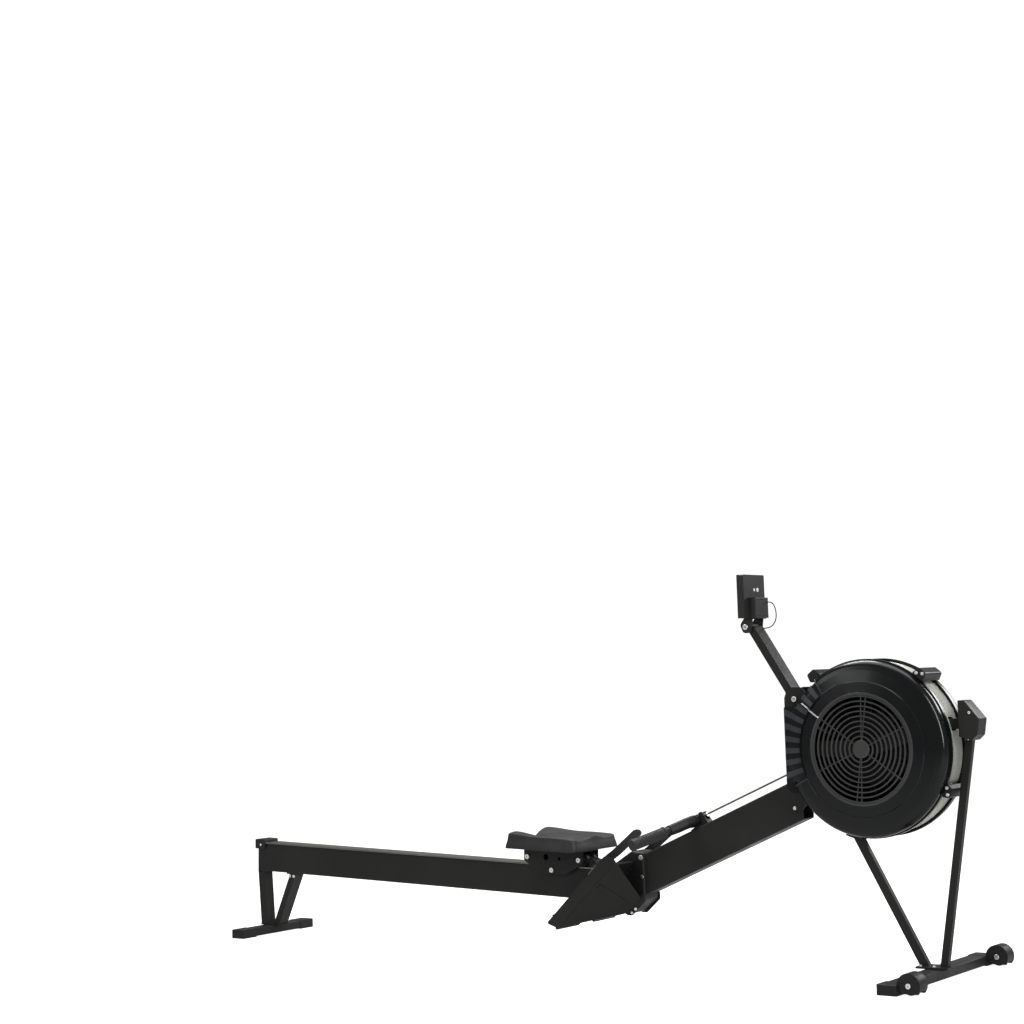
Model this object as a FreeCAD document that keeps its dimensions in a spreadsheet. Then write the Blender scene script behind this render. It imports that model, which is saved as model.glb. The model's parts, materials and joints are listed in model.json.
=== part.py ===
import FreeCAD, Part
import math
import os
import types

import Sketcher
from FreeCAD import Placement, Rotation, Vector

# Indoor rowing machine with an air fan, in millimetres.
# +X runs from the rear foot to the fan, +Y to the rower's left seen from the seat, +Z up.
# The origin is on the floor, below the middle of the whole machine.

DIMENSIONS = {
    # rail
    "rail_rear_x": -1267,
    "rail_rear_z": 298,
    "rail_pitch": 1.83,
    "rail_length": 1470,
    "rail_width": 50,
    "rail_height": 94.5,
    "rail_wall": 3,
    "track_width": 58,
    "track_thickness": 3,
    "track_lip": 4.5,
    # boom
    "boom_x": 238,
    "boom_z": 179.8,
    "boom_slope": 0.429,
    "boom_rise": 116.3,
    "boom_end_x": 766,
    "boom_width": 60,
    "boom_wall": 3,
    # feet
    "rear_foot_x": -1240.5,
    "rear_foot_span": 334,
    "front_foot_x": 1125,
    "front_foot_span": 610,
    "foot_tube_width": 50,
    "foot_tube_height": 25,
    "foot_tube_lift": 2,
    "foot_wall": 2.5,
    "strut_depth": 16,
    "rear_leg_depth": 40,
    "wheel_radius": 24.5,
    "wheel_width": 26,
    "wheel_bolt_radius": 4,
    # fan housing
    "hub_x": 978,
    "hub_z": 598,
    "shell_radius": 234,
    "shell_half": 92,
    "shell_wall": 3,
    "band_half": 38,
    "mesh_radius": 229,
    "mesh_thickness": 1.2,
    "grille_radius": 147,
    "fan_radius": 175,
    "axle_radius": 8,
    "sprocket_radius": 19.6,
    "fork_inside": 62,
    "fork_thickness": 4,
    # seat
    "carriage_x": 1201.6,
    "upper_roller_radius": 20,
    "lower_roller_radius": 10,
    "roller_bolt_radius": 4,
    "plate_inside": 38,
    "plate_thickness": 3,
    "seat_length": 250,
    "seat_width": 242,
    "seat_thickness": 43,
    # footrest
    "foot_plate_outside": 150,
    "foot_plate_thickness": 3,
    "footboard_thickness": 8,
    "strap_thickness": 2.5,
    "strap_width": 36,
    # handle
    "handle_x": 410,
    "handle_z": 394,
    "handle_tilt": 34,
    "handle_bar_radius": 11,
    "grip_radius": 16,
    "chain_width": 5,
    "chain_height": 7,
    # monitor
    "arm_pivot_x": 757,
    "arm_pivot_z": 732,
    "tilt_pivot_x": 613,
    "tilt_pivot_z": 934,
    "arm_width": 50,
    "arm_wall": 3.5,
    "monitor_width": 116,
    "button_radius": 6,
    "cable_radius": 1.6,
    # fits
    "running_gap": 0.05,
    "free_gap": 0.4,
    "slip_gap": 0.1,
}

doc = FreeCAD.newDocument("rowing_machine")
sheet = doc.addObject("Spreadsheet::Sheet", "dims")
for row, (alias, number) in enumerate(DIMENSIONS.items(), start=1):
    sheet.set(f"A{row}", alias)
    sheet.set(f"B{row}", str(number))
    sheet.setAlias(f"B{row}", alias)
doc.recompute()
size = types.SimpleNamespace(**DIMENSIONS)

NODES = []
WORLD = Placement()
UP = Vector(0, 0, 1)
ACROSS = Vector(0, 1, 0)
TURN_TO_Y = Rotation(Vector(1, 0, 0), -90)


def pitched(x, z, degrees):
    """A frame in the machine's middle plane whose own +X is turned down by an angle."""
    return Placement(Vector(x, 0, z), Rotation(ACROSS, degrees))


ROLLER_SPREAD = 92.5
RAIL = pitched(size.rail_rear_x, size.rail_rear_z, size.rail_pitch)
CARRIAGE = RAIL.multiply(Placement(Vector(size.carriage_x, 0, 0), Rotation()))
HUB = Placement(Vector(size.hub_x, 0, size.hub_z), Rotation())
HANDLE = pitched(size.handle_x, size.handle_z, -size.handle_tilt)


# ---------------------------------------------------------------- drawing helpers


def corner_arcs(outline):
    """Edges of a closed outline of (u, v) or (u, v, radius) points, as Part geometry."""
    points = [Vector(p[0], p[1], 0) for p in outline]
    radii = [p[2] if len(p) > 2 else 0 for p in outline]
    count = len(points)
    starts, ends, arcs = [], [], []
    for i, point in enumerate(points):
        before = (points[i - 1] - point).normalize()
        after = (points[(i + 1) % count] - point).normalize()
        half = before.getAngle(after) / 2
        if radii[i] == 0:
            starts.append(point)
            ends.append(point)
            arcs.append(None)
            continue
        reach = radii[i] / math.tan(half)
        middle_way = (before + after).normalize()
        centre = point + middle_way * (radii[i] / math.sin(half))
        starts.append(point + before * reach)
        ends.append(point + after * reach)
        arcs.append(centre - middle_way * radii[i])
    edges = []
    for i in range(count):
        if arcs[i] is not None:
            edges.append(Part.Arc(starts[i], arcs[i], ends[i]))
        if ends[i].distanceToPoint(starts[(i + 1) % count]) > 1e-6:
            edges.append(Part.LineSegment(ends[i], starts[(i + 1) % count]))
    return edges


def origin_plane(body, role):
    for feature in body.Origin.OriginFeatures:
        if feature.Role == role:
            return feature
    raise ValueError(role)


def new_sketch(body, role, outlines, circles=()):
    """A sketch on one of the body's own origin planes. XZ_Plane has u = X and v = Z."""
    sketch = body.newObject("Sketcher::SketchObject", f"{body.Name}_sketch")
    sketch.AttachmentSupport = [(origin_plane(body, role), "")]
    sketch.MapMode = "FlatFace"
    for outline in outlines:
        sketch.addGeometry(corner_arcs(outline), False)
    for u, v, radius in circles:
        sketch.addGeometry(Part.Circle(Vector(u, v, 0), UP, radius), False)
    return sketch


def new_body(name, frame):
    body = doc.addObject("PartDesign::Body", name)
    body.Label = name
    body.Placement = frame
    return body


def padded(name, outline, length, frame=WORLD, role="XZ_Plane", circles=(), midplane=True):
    """An outline padded by a length that is a number or a spreadsheet expression."""
    body = new_body(name, frame)
    pad = body.newObject("PartDesign::Pad", f"{name}_pad")
    pad.Profile = new_sketch(body, role, [outline], circles)
    pad.Midplane = midplane
    set_size(pad, "Length", length)
    body.Tip = pad
    return body


def turned(name, outline, frame=WORLD, start=0, sweep=360):
    """An outline of (radius, y) points revolved about the frame's Y axis."""
    spun = frame.multiply(Placement(Vector(), Rotation(ACROSS, -start)))
    body = new_body(name, spun)
    turn = body.newObject("PartDesign::Revolution", f"{name}_turn")
    sketch = new_sketch(body, "XY_Plane", [outline])
    turn.Profile = sketch
    turn.ReferenceAxis = (sketch, ["V_Axis"])
    turn.Angle = sweep
    turn.Reversed = True
    body.Tip = turn
    return body


def set_size(feature, name, value):
    """Binds a size to the sheet when it is an expression, or sets a plain number."""
    if isinstance(value, str):
        feature.setExpression(name, value)
    else:
        setattr(feature, name, value)


def block(name, low, high, frame=WORLD):
    box = doc.addObject("Part::Box", name)
    box.Length, box.Width, box.Height = [b - a for a, b in zip(low, high)]
    box.Placement = frame.multiply(Placement(Vector(*low), Rotation()))
    return box


def rod(name, x, z, radius, y_low, y_high, frame=WORLD):
    """A cylinder along Y."""
    pin = doc.addObject("Part::Cylinder", name)
    set_size(pin, "Radius", radius)
    pin.Height = y_high - y_low
    pin.Placement = frame.multiply(Placement(Vector(x, y_low, z), TURN_TO_Y))
    return pin


def fused(name, pieces):
    union = doc.addObject("Part::MultiFuse", name)
    union.Shapes = pieces
    union.Refine = True
    return union


def cut(name, base, tools):
    tool = tools[0] if len(tools) == 1 else fused(f"{name}_tools", tools)
    difference = doc.addObject("Part::Cut", name)
    difference.Base = base
    difference.Tool = tool
    difference.Refine = True
    return difference


def group(name, pieces):
    compound = doc.addObject("Part::Compound", name)
    compound.Links = pieces
    return compound


def mirrored(name, source):
    """The same piece on the other side of the machine's middle plane."""
    mirror = doc.addObject("Part::Mirroring", name)
    mirror.Source = source
    mirror.Normal = ACROSS
    return mirror


def softened(name, source, radius, chosen):
    """Rounds the edges of a piece that a test picks."""
    doc.recompute()
    edges = source.Shape.Edges
    fillet = doc.addObject("Part::Fillet", name)
    fillet.Base = source
    fillet.Edges = [(i + 1, radius, radius) for i, edge in enumerate(edges) if chosen(edge)]
    return fillet


def node(name, piece):
    """Marks a piece as one of the machine's parts, to be written under this name."""
    piece.Label = name
    NODES.append(piece)
    return piece


def shifted(frame, x=0, y=0, z=0):
    return frame.multiply(Placement(Vector(x, y, z), Rotation()))


def rectangle(u_low, u_high, v_low, v_high, radius=0):
    corners = [(u_low, v_low), (u_high, v_low), (u_high, v_high), (u_low, v_high)]
    return [(u, v, radius) if radius else (u, v) for u, v in corners]


def leg_outline(low, high, width):
    """A slanting bar between two (x, z) points with level ends; width is its level width."""
    half = width / 2
    return [
        (low[0] - half, low[1]),
        (low[0] + half, low[1]),
        (high[0] + half, high[1]),
        (high[0] - half, high[1]),
    ]


def strip_outline(start, end, thickness):
    """A straight bar between two (x, z) points, square at its ends."""
    along = Vector(end[0] - start[0], 0, end[1] - start[1]).normalize()
    side = Vector(-along.z, 0, along.x) * (thickness / 2)
    return [
        (start[0] - side.x, start[1] - side.z),
        (end[0] - side.x, end[1] - side.z),
        (end[0] + side.x, end[1] + side.z),
        (start[0] + side.x, start[1] + side.z),
    ]


def boom_floor(x):
    return size.boom_z + size.boom_slope * (x - size.boom_x)


def boom_roof(x):
    return boom_floor(x) + size.boom_rise


BOOM_PITCH = math.degrees(math.atan(size.boom_slope))


# ---------------------------------------------------------------- rail


def rail_beam():
    top = -size.track_thickness
    half = size.rail_width / 2
    outer = rectangle(-half, half, -size.rail_height, top, 4)
    inner = rectangle(
        -half + size.rail_wall,
        half - size.rail_wall,
        -size.rail_height + size.rail_wall,
        top - size.rail_wall,
        2,
    )
    body = new_body("rail_beam", RAIL)
    pad = body.newObject("PartDesign::Pad", "rail_beam_pad")
    pad.Profile = new_sketch(body, "YZ_Plane", [outer, inner])
    pad.setExpression("Length", "dims.rail_length")
    body.Tip = pad
    return node("rail_beam", body)


def rail_track():
    """The running strip: flat on top, with two turned-down lips that the lower rollers run under."""
    half = size.track_width / 2
    lip = 2
    deep = -size.track_lip
    under = -size.track_thickness
    outline = [
        (-half, 0, 1),
        (-half, deep),
        (-half + lip, deep),
        (-half + lip, under),
        (half - lip, under),
        (half - lip, deep),
        (half, deep),
        (half, 0, 1),
    ]
    length = "dims.rail_length - 50"
    return node("rail_track", padded("rail_track", outline, length, RAIL, "YZ_Plane", (), False))


def rail_bumpers():
    """The rubber blocks at the track's ends that stop the seat."""
    outer = block("bumper_block", (-16, -31, -22), (27, 31, 9), RAIL)
    rounded = softened("bumper_round", outer, 4, lambda e: e.BoundBox.YLength > 50)
    slot = block("bumper_slot", (0, -29.1, -30), (40, 29.1, 0), RAIL)
    rear = cut("bumper_rear", rounded, [slot])
    stop_x = size.carriage_x + ROLLER_SPREAD + size.upper_roller_radius + size.free_gap
    outline = [(stop_x, 0), (stop_x + 28, 0), (stop_x + 28, 18, 5), (stop_x + 3, 25, 4), (stop_x, 22, 2)]
    front = padded("bumper_front", outline, 40, RAIL)
    return node("rail_bumpers", group("rail_bumpers", [rear, front]))


# ---------------------------------------------------------------- rear leg and foot


def rear_leg():
    depth = "dims.rear_leg_depth"
    under_rail = -size.rail_height
    flange = under_rail - 4
    pieces = [
        padded("leg_post", leg_outline((-1261, 29), (-1270, 201), 25), depth),
        padded("leg_brace", leg_outline((-1207, 29), (-1128, 197), 25), depth),
        block("leg_base", (-1275, -21, 27), (-1191, 21, 31)),
        block("leg_end_plate", (-8, -25, flange), (0, 25, -22.4), RAIL),
        block("leg_flange_rear", (-10, -21, flange), (32, 21, under_rail), RAIL),
        block("leg_flange_front", (116, -21, flange), (166, 21, under_rail), RAIL),
    ]
    return node("rear_leg", fused("rear_leg", pieces))


def foot_tube(name, x, length):
    """A rectangular steel cross tube lying along Y."""
    half = size.foot_tube_width / 2
    low = size.foot_tube_lift
    high = low + size.foot_tube_height
    wall = size.foot_wall
    body = new_body(name, Placement(Vector(x, 0, 0), Rotation()))
    pad = body.newObject("PartDesign::Pad", f"{name}_pad")
    outer = rectangle(-half, half, low, high, 3)
    inner = rectangle(-half + wall, half - wall, low + wall, high - wall)
    pad.Profile = new_sketch(body, "XZ_Plane", [outer, inner])
    pad.Midplane = True
    set_size(pad, "Length", length)
    body.Tip = pad
    return node(name, body)


def tube_space(name, x, y_low, y_high):
    """The space that a cross tube takes inside its end cap."""
    half = size.foot_tube_width / 2
    low = size.foot_tube_lift
    return block(name, (x - half, y_low, low), (x + half, y_high, low + size.foot_tube_height))


def rear_foot_caps():
    end = size.rear_foot_span / 2
    x = size.rear_foot_x
    outer = block("rear_cap_block", (x - 26, end - 62, 0), (x + 26, end, 28))
    rounded = softened("rear_cap_round", outer, 3, lambda e: e.BoundBox.YMin > end - 1)
    left = cut("rear_cap_left", rounded, [tube_space("rear_cap_space", x, end - 70, end - 7)])
    return node("rear_foot_caps", group("rear_foot_caps", [left, mirrored("rear_cap_right", left)]))


# ---------------------------------------------------------------- front foot, wheels and leg

WHEEL_X = size.front_foot_x + 55.5
WHEEL_Z = 26
WHEEL_Y = 271.5


def front_foot_caps():
    """End caps of the front foot, each with a mudguard around a transport wheel."""
    x = size.front_foot_x
    end = size.front_foot_span / 2
    outer = block("front_cap_block", (x - 27, end - 57, 0), (x + 27, end, 27.6))
    rounded = softened("front_cap_round", outer, 3, lambda e: e.BoundBox.YMin > end - 1)
    guard = rod("guard_disc", WHEEL_X, WHEEL_Z, 31.5, 249, 294)
    cap = fused("front_cap_solid", [rounded, guard])
    tools = [
        tube_space("front_cap_space", x, end - 70, end - 15),
        rod("guard_hollow", WHEEL_X, WHEEL_Z, 27.5, 256, 287),
        block("guard_mouth", (x + 28, 256, -10), (WHEEL_X + 40, 287, 12)),
        block("guard_trim", (x + 28, 240, -10), (WHEEL_X + 40, 300, 6)),
        rod("guard_bolt_hole", WHEEL_X, WHEEL_Z, "dims.wheel_bolt_radius", 240, 300),
    ]
    left = cut("front_cap_left", cap, tools)
    pair = [left, mirrored("front_cap_right", left)]
    return node("front_foot_caps", group("front_foot_caps", pair))


def wheel(name, side):
    half = size.wheel_width / 2
    bore = size.wheel_bolt_radius + size.running_gap
    rim = size.wheel_radius
    outline = [
        (bore, -half),
        (10, -half),
        (12, -half + 3),
        (rim - 6, -half + 3),
        (rim - 4, -half),
        (rim, -half, 2),
        (rim, half, 2),
        (rim - 4, half),
        (rim - 6, half - 3),
        (12, half - 3),
        (10, half),
        (bore, half),
    ]
    centre = Placement(Vector(WHEEL_X, side * WHEEL_Y, WHEEL_Z), Rotation())
    return node(name, turned(name, outline, centre))


def front_leg():
    """The V-shaped front leg: two welded struts, a foot plate and a saddle under the fan shells."""
    x = size.front_foot_x
    top_of_tube = size.foot_tube_lift + size.foot_tube_height
    saddle_angle = 253.4
    saddle = turned(
        "leg_saddle",
        [(237.3, -20), (249, -20), (249, 20), (237.3, 20)],
        HUB,
        saddle_angle - 5,
        10,
    )
    depth = "dims.strut_depth"
    pieces = [
        padded("strut_rear", leg_outline((x - 32.4, 30), (912.5, 366), 27), depth),
        padded("strut_front", leg_outline((x + 20.4, 30), (x + 121.7, 616.4), 20.5), depth),
        block("leg_foot_plate", (x - 50, -30, top_of_tube), (x + 40, 30, top_of_tube + 5)),
        saddle,
    ]
    return node("front_leg", fused("front_leg", pieces))


def front_end_box():
    """The chamfered steel box at the front that joins the fan forks to the front strut."""
    outline = [
        (1227, 626, 3),
        (1262, 616, 4),
        (1277, 630, 4),
        (1284, 672, 6),
        (1244, 720, 6),
        (1227, 720, 3),
    ]
    inside = [(1231, 631), (1261, 621), (1273, 633), (1280, 671), (1242, 716), (1231, 716)]
    shell = padded("end_box_shell", outline, 50)
    hollow = padded("end_box_hollow", inside, 43)
    tongue = block("end_box_tongue", (1176, -12, 646), (1229, 12, 672))
    return node("front_end_box", fused("front_end_box", [cut("end_box", shell, [hollow]), tongue]))


# ---------------------------------------------------------------- boom and head


def boom_tube():
    start, end = size.boom_x, size.boom_end_x
    wall = size.boom_wall / math.cos(math.radians(BOOM_PITCH))
    outer = [
        (start, boom_floor(start)),
        (end, boom_floor(end)),
        (end, boom_roof(end)),
        (start, boom_roof(start)),
    ]
    inner = [
        (start - 5, boom_floor(start - 5) + wall),
        (end + 5, boom_floor(end + 5) + wall),
        (end + 5, boom_roof(end + 5) - wall),
        (start - 5, boom_roof(start - 5) - wall),
    ]
    tube = padded("boom_outer", outer, "dims.boom_width")
    hollow = padded("boom_hollow", inner, "dims.boom_width - 2 * dims.boom_wall")
    along = Vector(1, 0, size.boom_slope).normalize()
    edges_along = lambda e: abs(e.tangentAt(e.FirstParameter).dot(along)) > 0.999
    rounded = softened("boom_round", tube, 5, edges_along)
    roller_notch = block("boom_notch", (716, -26, 470), (780, 26, 560))
    return node("boom_tube", cut("boom_tube", rounded, [hollow, roller_notch]))


def joint_housing():
    """The casting that holds the rail's front end and the boom's lower end."""
    outline = [
        (134, 152, 8),
        (250, 168, 8),
        (250, 304, 4),
        (208, 308, 14),
        (134, 262, 30),
    ]
    solid = padded("joint_solid", outline, 74)
    upright = lambda e: e.BoundBox.YLength < 1 and e.Length > 20
    rounded = softened("joint_round", solid, 7, upright)
    half = size.rail_width / 2
    rail_space = block("joint_rail_space", (1380, -half, -size.rail_height), (1470, half, 0), RAIL)
    track_space = block("joint_track_space", (1380, -30, -size.track_lip), (1420.5, 30, 14), RAIL)
    start = size.boom_x
    boom_end = [
        (start, boom_floor(start)),
        (300, boom_floor(300)),
        (300, boom_roof(300)),
        (start, boom_roof(start)),
    ]
    boom_space = padded("joint_boom_space", boom_end, "dims.boom_width")
    inside = padded("joint_inside", [(205, 175), (245, 195), (245, 285), (205, 262)], 54)
    tools = [rail_space, track_space, boom_space, inside]
    return node("joint_housing", cut("joint_housing", rounded, tools))


def head_bracket():
    """Two side plates and a web on the boom's front end that carry the fan forks and the arm."""
    outline = [
        (725, 474),
        (735, 424, 6),
        (766, 432, 6),
        (800, 470, 10),
        (800, 700, 20),
        (786, 764, 20),
        (736, 764, 24),
        (725, 735, 8),
    ]
    holes = [
        (size.arm_pivot_x, size.arm_pivot_z, 5 + size.running_gap),
        (GUIDE_X, GUIDE_Z, 4),
    ]
    plates = []
    for side in (-1, 1):
        frame = Placement(Vector(0, side * 32.2, 0), Rotation())
        plates.append(padded(f"head_plate_{side + 1}", outline, 4, frame, "XZ_Plane", holes))
    web = block("head_web", (786, -31, 585), (791, 31, 672))
    tie = block("head_tie", (730, -31, 560), (735, 31, 690))
    return node("head_bracket", fused("head_bracket", plates + [web, tie]))


def fan_forks():
    """The two side bars inside the shells that hold the axle between the boom and the end box."""
    outline = [
        (764, 578, 6),
        (978, 574),
        (1190, 642, 4),
        (1190, 674, 4),
        (978, 622),
        (764, 618, 6),
    ]
    pieces = []
    inside = size.fork_inside
    outside = inside + size.fork_thickness
    for side in (-1, 1):
        frame = Placement(Vector(0, side * (inside + outside) / 2, 0), Rotation())
        hole = [(size.hub_x, size.hub_z, size.axle_radius)]
        bar = padded(f"fork_bar_{side + 1}", outline, "dims.fork_thickness", frame, "XZ_Plane", hole)
        low, high = sorted((side * 34.2, side * (inside + 1)))
        rear = block(f"fork_rear_{side + 1}", (768, low, 582), (784, high, 614))
        low, high = sorted((side * 12, side * (inside + 1)))
        front = block(f"fork_front_{side + 1}", (1178, low, 648), (1190, high, 670))
        pieces += [bar, rear, front]
    sides = [fused("fork_right", pieces[:3]), fused("fork_left", pieces[3:])]
    return node("fan_forks", group("fan_forks", sides))


# ---------------------------------------------------------------- fan housing


def shell_profile():
    """The outer and inner line of a fan shell as (radius, depth in front of the middle plane)."""
    rim = size.shell_radius
    edge = size.band_half
    wall = size.shell_wall
    face = size.shell_half
    return [
        (size.grille_radius, face - 0.5),
        (177, face - 3.5),
        (179, face - 6.5),
        (208, face - 10),
        (rim, face - 17, 20),
        (rim, edge + 9),
        (rim + 3, edge + 9),
        (rim + 3, edge),
        (rim - wall, edge),
        (rim - wall, face - 20, 17),
        (208, face - 13),
        (177, face - 9.5),
        (175, face - 6.7),
        (size.grille_radius, face - 3.5),
    ]


def recess_profile():
    """The lowered part of the right shell that carries the damper scale."""
    face = size.shell_half
    edge = size.band_half
    return [
        (184, face - 12),
        (210, face - 15),
        (227, face - 20, 14),
        (227, edge),
        (224, edge),
        (224, face - 23, 11),
        (210, face - 18),
        (181, face - 15),
        (175, face - 9.6),
        (176.6, face - 6),
    ]


def side_of(profile, side):
    return [(p[0], p[1] * side) + tuple(p[2:]) for p in profile]


RECESS_START = 127
RECESS_SWEEP = 78


def shell_cheek():
    """The squared-off flank of the right shell, over the head bracket."""
    face = 70
    wall = size.shell_wall
    depth = face - size.band_half
    outside = [(742, 480, 24), (742, 712, 12), (800, 712), (800, 480)]
    inside = [
        (742 + wall, 480 + wall, 21),
        (742 + wall, 712 - wall, 9),
        (800, 712 - wall),
        (800, 480 + wall),
    ]
    outer_frame = Placement(Vector(0, -face + depth / 2, 0), Rotation())
    inner_frame = Placement(Vector(0, -face + wall + depth / 2, 0), Rotation())
    solid = padded("cheek_solid", outside, depth, outer_frame)
    hollow = padded("cheek_hollow", inside, depth, inner_frame)
    barrel = rod("cheek_barrel", size.hub_x, size.hub_z, 226, -face - 5, 0)
    keep = rod("cheek_keep", size.hub_x, size.hub_z, 229, -face - 5, 0)
    return cut("cheek", solid, [cut("cheek_space", hollow, [keep]), barrel])


def shell_right():
    """The right fan shell, with a recessed sector for the damper lever."""
    full = turned("shell_right_full", side_of(shell_profile(), -1), HUB)
    face = size.shell_half
    edge = size.band_half
    wedge_outline = side_of([(178, face + 5), (178, edge - 5), (245, edge - 5), (245, face + 5)], -1)
    wedge = turned("shell_wedge", wedge_outline, HUB, RECESS_START, RECESS_SWEEP)
    opened = cut("shell_right_open", full, [wedge])
    recess = turned("shell_recess", side_of(recess_profile(), -1), HUB, RECESS_START, RECESS_SWEEP)
    wall_points = [
        (178, face - 6.5),
        (208, face - 10),
        (231, face - 24),
        (231, edge),
        (224, edge),
        (224, face - 30),
        (178, face - 15),
    ]
    wall_outline = side_of(wall_points, -1)
    walls = [
        turned("shell_wall_top", wall_outline, HUB, RECESS_START - 0.6, 1.2),
        turned("shell_wall_low", wall_outline, HUB, RECESS_START + RECESS_SWEEP - 0.6, 1.2),
    ]
    slot_outline = side_of([(179.3, face), (182.7, face), (182.7, face - 30), (179.3, face - 30)], -1)
    slot = turned("damper_slot", slot_outline, HUB, RECESS_START + 3, RECESS_SWEEP - 6)
    whole = fused("shell_right_whole", [opened, recess, shell_cheek()] + walls)
    return node("shell_right", cut("shell_right", whole, [slot]))


def shell_left():
    return node("shell_left", turned("shell_left", side_of(shell_profile(), 1), HUB))


def grille(side):
    """Concentric rings on spokes, with a cap in the middle."""
    face = size.shell_half
    tag = "right" if side < 0 else "left"
    hub_cap = [(0, face + 0.5), (20, face + 0.5), (24, face - 1, 1), (24, face - 7), (0, face - 7)]
    pieces = [turned(f"grille_cap_{tag}", side_of(hub_cap, side), HUB)]
    for ring in range(9):
        middle = 34 + 13.2 * ring
        outline = rectangle(middle - 1.8, middle + 1.8, face - 5, face - 1)
        pieces.append(turned(f"grille_ring_{tag}_{ring}", side_of(outline, side), HUB))
    rim = rectangle(size.grille_radius - 4.5, size.grille_radius, face - 5.5, face - 0.2)
    pieces.append(turned(f"grille_rim_{tag}", side_of(rim, side), HUB))
    for spoke, angle in enumerate((25, 82, 88, 145, 205, 262, 268, 325)):
        frame = HUB.multiply(Placement(Vector(), Rotation(ACROSS, -angle)))
        y_low, y_high = sorted((side * (face - 6), side * (face - 3)))
        ends = (size.grille_radius - 2, 20)
        box = block(f"grille_spoke_{tag}_{spoke}", (ends[1], y_low, -1.3), (ends[0], y_high, 1.3), frame)
        pieces.append(box)
    return fused(f"grille_{tag}", pieces)


def grilles():
    return node("grilles", group("grilles", [grille(-1), grille(1)]))


def mesh_band():
    """The perforated steel sheet between the shells, open where the boom and the end box enter."""
    inner = size.mesh_radius - size.mesh_thickness
    half = size.band_half
    band = turned("mesh_sheet", rectangle(inner, size.mesh_radius, -half, half), HUB, 241, 244)
    window = block("mesh_window", (1150, -12.5, 645), (1230, 12.5, 673))
    return node("mesh_band", cut("mesh_band", band, [window]))


CLAMPS = ((50.6, 262), (-27, 258), (128, 262))


def shell_clamps():
    """Blocks that pull the two shells together over the mesh."""
    pieces = []
    for count, (angle, top) in enumerate(CLAMPS):
        outline = [(238, -19, 4), (238, 19, 4), (top, 13, 6), (top, -13, 6)]
        frame = HUB.multiply(Placement(Vector(), Rotation(ACROSS, -angle)))
        pieces.append(padded(f"clamp_{count}", outline, 100, frame))
    return node("shell_clamps", group("shell_clamps", pieces))


# ---------------------------------------------------------------- fan and drive

GUIDE_X = 741.5
GUIDE_Z = 519.6
GUIDE_RADIUS = 14


def fan_axle():
    radius = size.axle_radius
    outline = [
        (0, -73),
        (7, -73),
        (7, -70.5),
        (13, -70.5),
        (13, -66.1),
        (radius, -66.1),
        (radius, 66.1),
        (13, 66.1),
        (13, 70.5),
        (7, 70.5),
        (7, 73),
        (0, 73),
    ]
    return node("fan_axle", turned("fan_axle", outline, HUB))


def flywheel():
    """Twin fan rotors on one sleeve; the sprocket turns between them."""
    sleeve = 11
    bore = 9
    seat = 14
    right_side = [
        (sleeve, 11),
        (size.fan_radius, 11),
        (size.fan_radius, 14),
        (32, 14),
        (24, 22),
        (24, 54),
        (seat, 54),
        (seat, 42),
        (bore, 42),
    ]
    left_side = [(r, -y) for r, y in reversed(right_side)]
    body = turned("flywheel", right_side + left_side, HUB)
    blades = new_sketch(body, "XY_Plane", [rectangle(96, 174, 13, 56), rectangle(96, 174, -56, -13)])
    pad = body.newObject("PartDesign::Pad", "fan_blades")
    pad.Profile = blades
    pad.Midplane = True
    pad.Length = 2
    pattern = body.newObject("PartDesign::PolarPattern", "fan_blade_ring")
    pattern.Originals = [pad]
    pattern.Axis = (blades, ["V_Axis"])
    pattern.Angle = 360
    pattern.Occurrences = 18
    body.Tip = pattern
    return node("flywheel", body)


def fan_bearings():
    bore = size.axle_radius + size.running_gap
    pieces = []
    for side in (-1, 1):
        outline = side_of(rectangle(bore, 14, 42, 54), side)
        pieces.append(turned(f"fan_bearing_{side + 1}", outline, HUB))
    return node("fan_bearings", group("fan_bearings", pieces))


def sprocket():
    """The chain sprocket with its one-way clutch, running on the flywheel's sleeve."""
    bore = 11 + size.running_gap
    tip = size.sprocket_radius
    hub = [
        (bore, -9),
        (16, -9),
        (16, -1.6),
        (tip - 3, -1.6),
        (tip - 3, 1.6),
        (16, 1.6),
        (16, 9),
        (bore, 9),
    ]
    body = turned("sprocket", hub, HUB)
    tooth = [(tip - 4, -1.4), (tip - 0.4, -0.6), (tip - 0.4, 0.6), (tip - 4, 1.4)]
    pad = body.newObject("PartDesign::Pad", "sprocket_tooth")
    sketch = new_sketch(body, "XZ_Plane", [tooth])
    pad.Profile = sketch
    pad.Midplane = True
    pad.Length = 2.4
    pattern = body.newObject("PartDesign::PolarPattern", "sprocket_teeth")
    pattern.Originals = [pad]
    pattern.Axis = (sketch, ["N_Axis"])
    pattern.Angle = 360
    pattern.Occurrences = 20
    body.Tip = pattern
    return node("sprocket", body)


def guide_roller():
    bore = 4 + size.running_gap
    outline = [
        (bore, -24),
        (8, -24),
        (8, -8),
        (GUIDE_RADIUS + 3, -8),
        (GUIDE_RADIUS + 3, -5),
        (GUIDE_RADIUS, -4),
        (GUIDE_RADIUS, 4),
        (GUIDE_RADIUS + 3, 5),
        (GUIDE_RADIUS + 3, 8),
        (8, 8),
        (8, 24),
        (bore, 24),
    ]
    frame = Placement(Vector(GUIDE_X, 0, GUIDE_Z), Rotation())
    return node("guide_roller", turned("guide_roller", outline, frame))


CHAIN_START = (446, 414)
CHAIN_BEND = (735, 537.4)
CHAIN_TOP = (972.2, 620.3)


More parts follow.
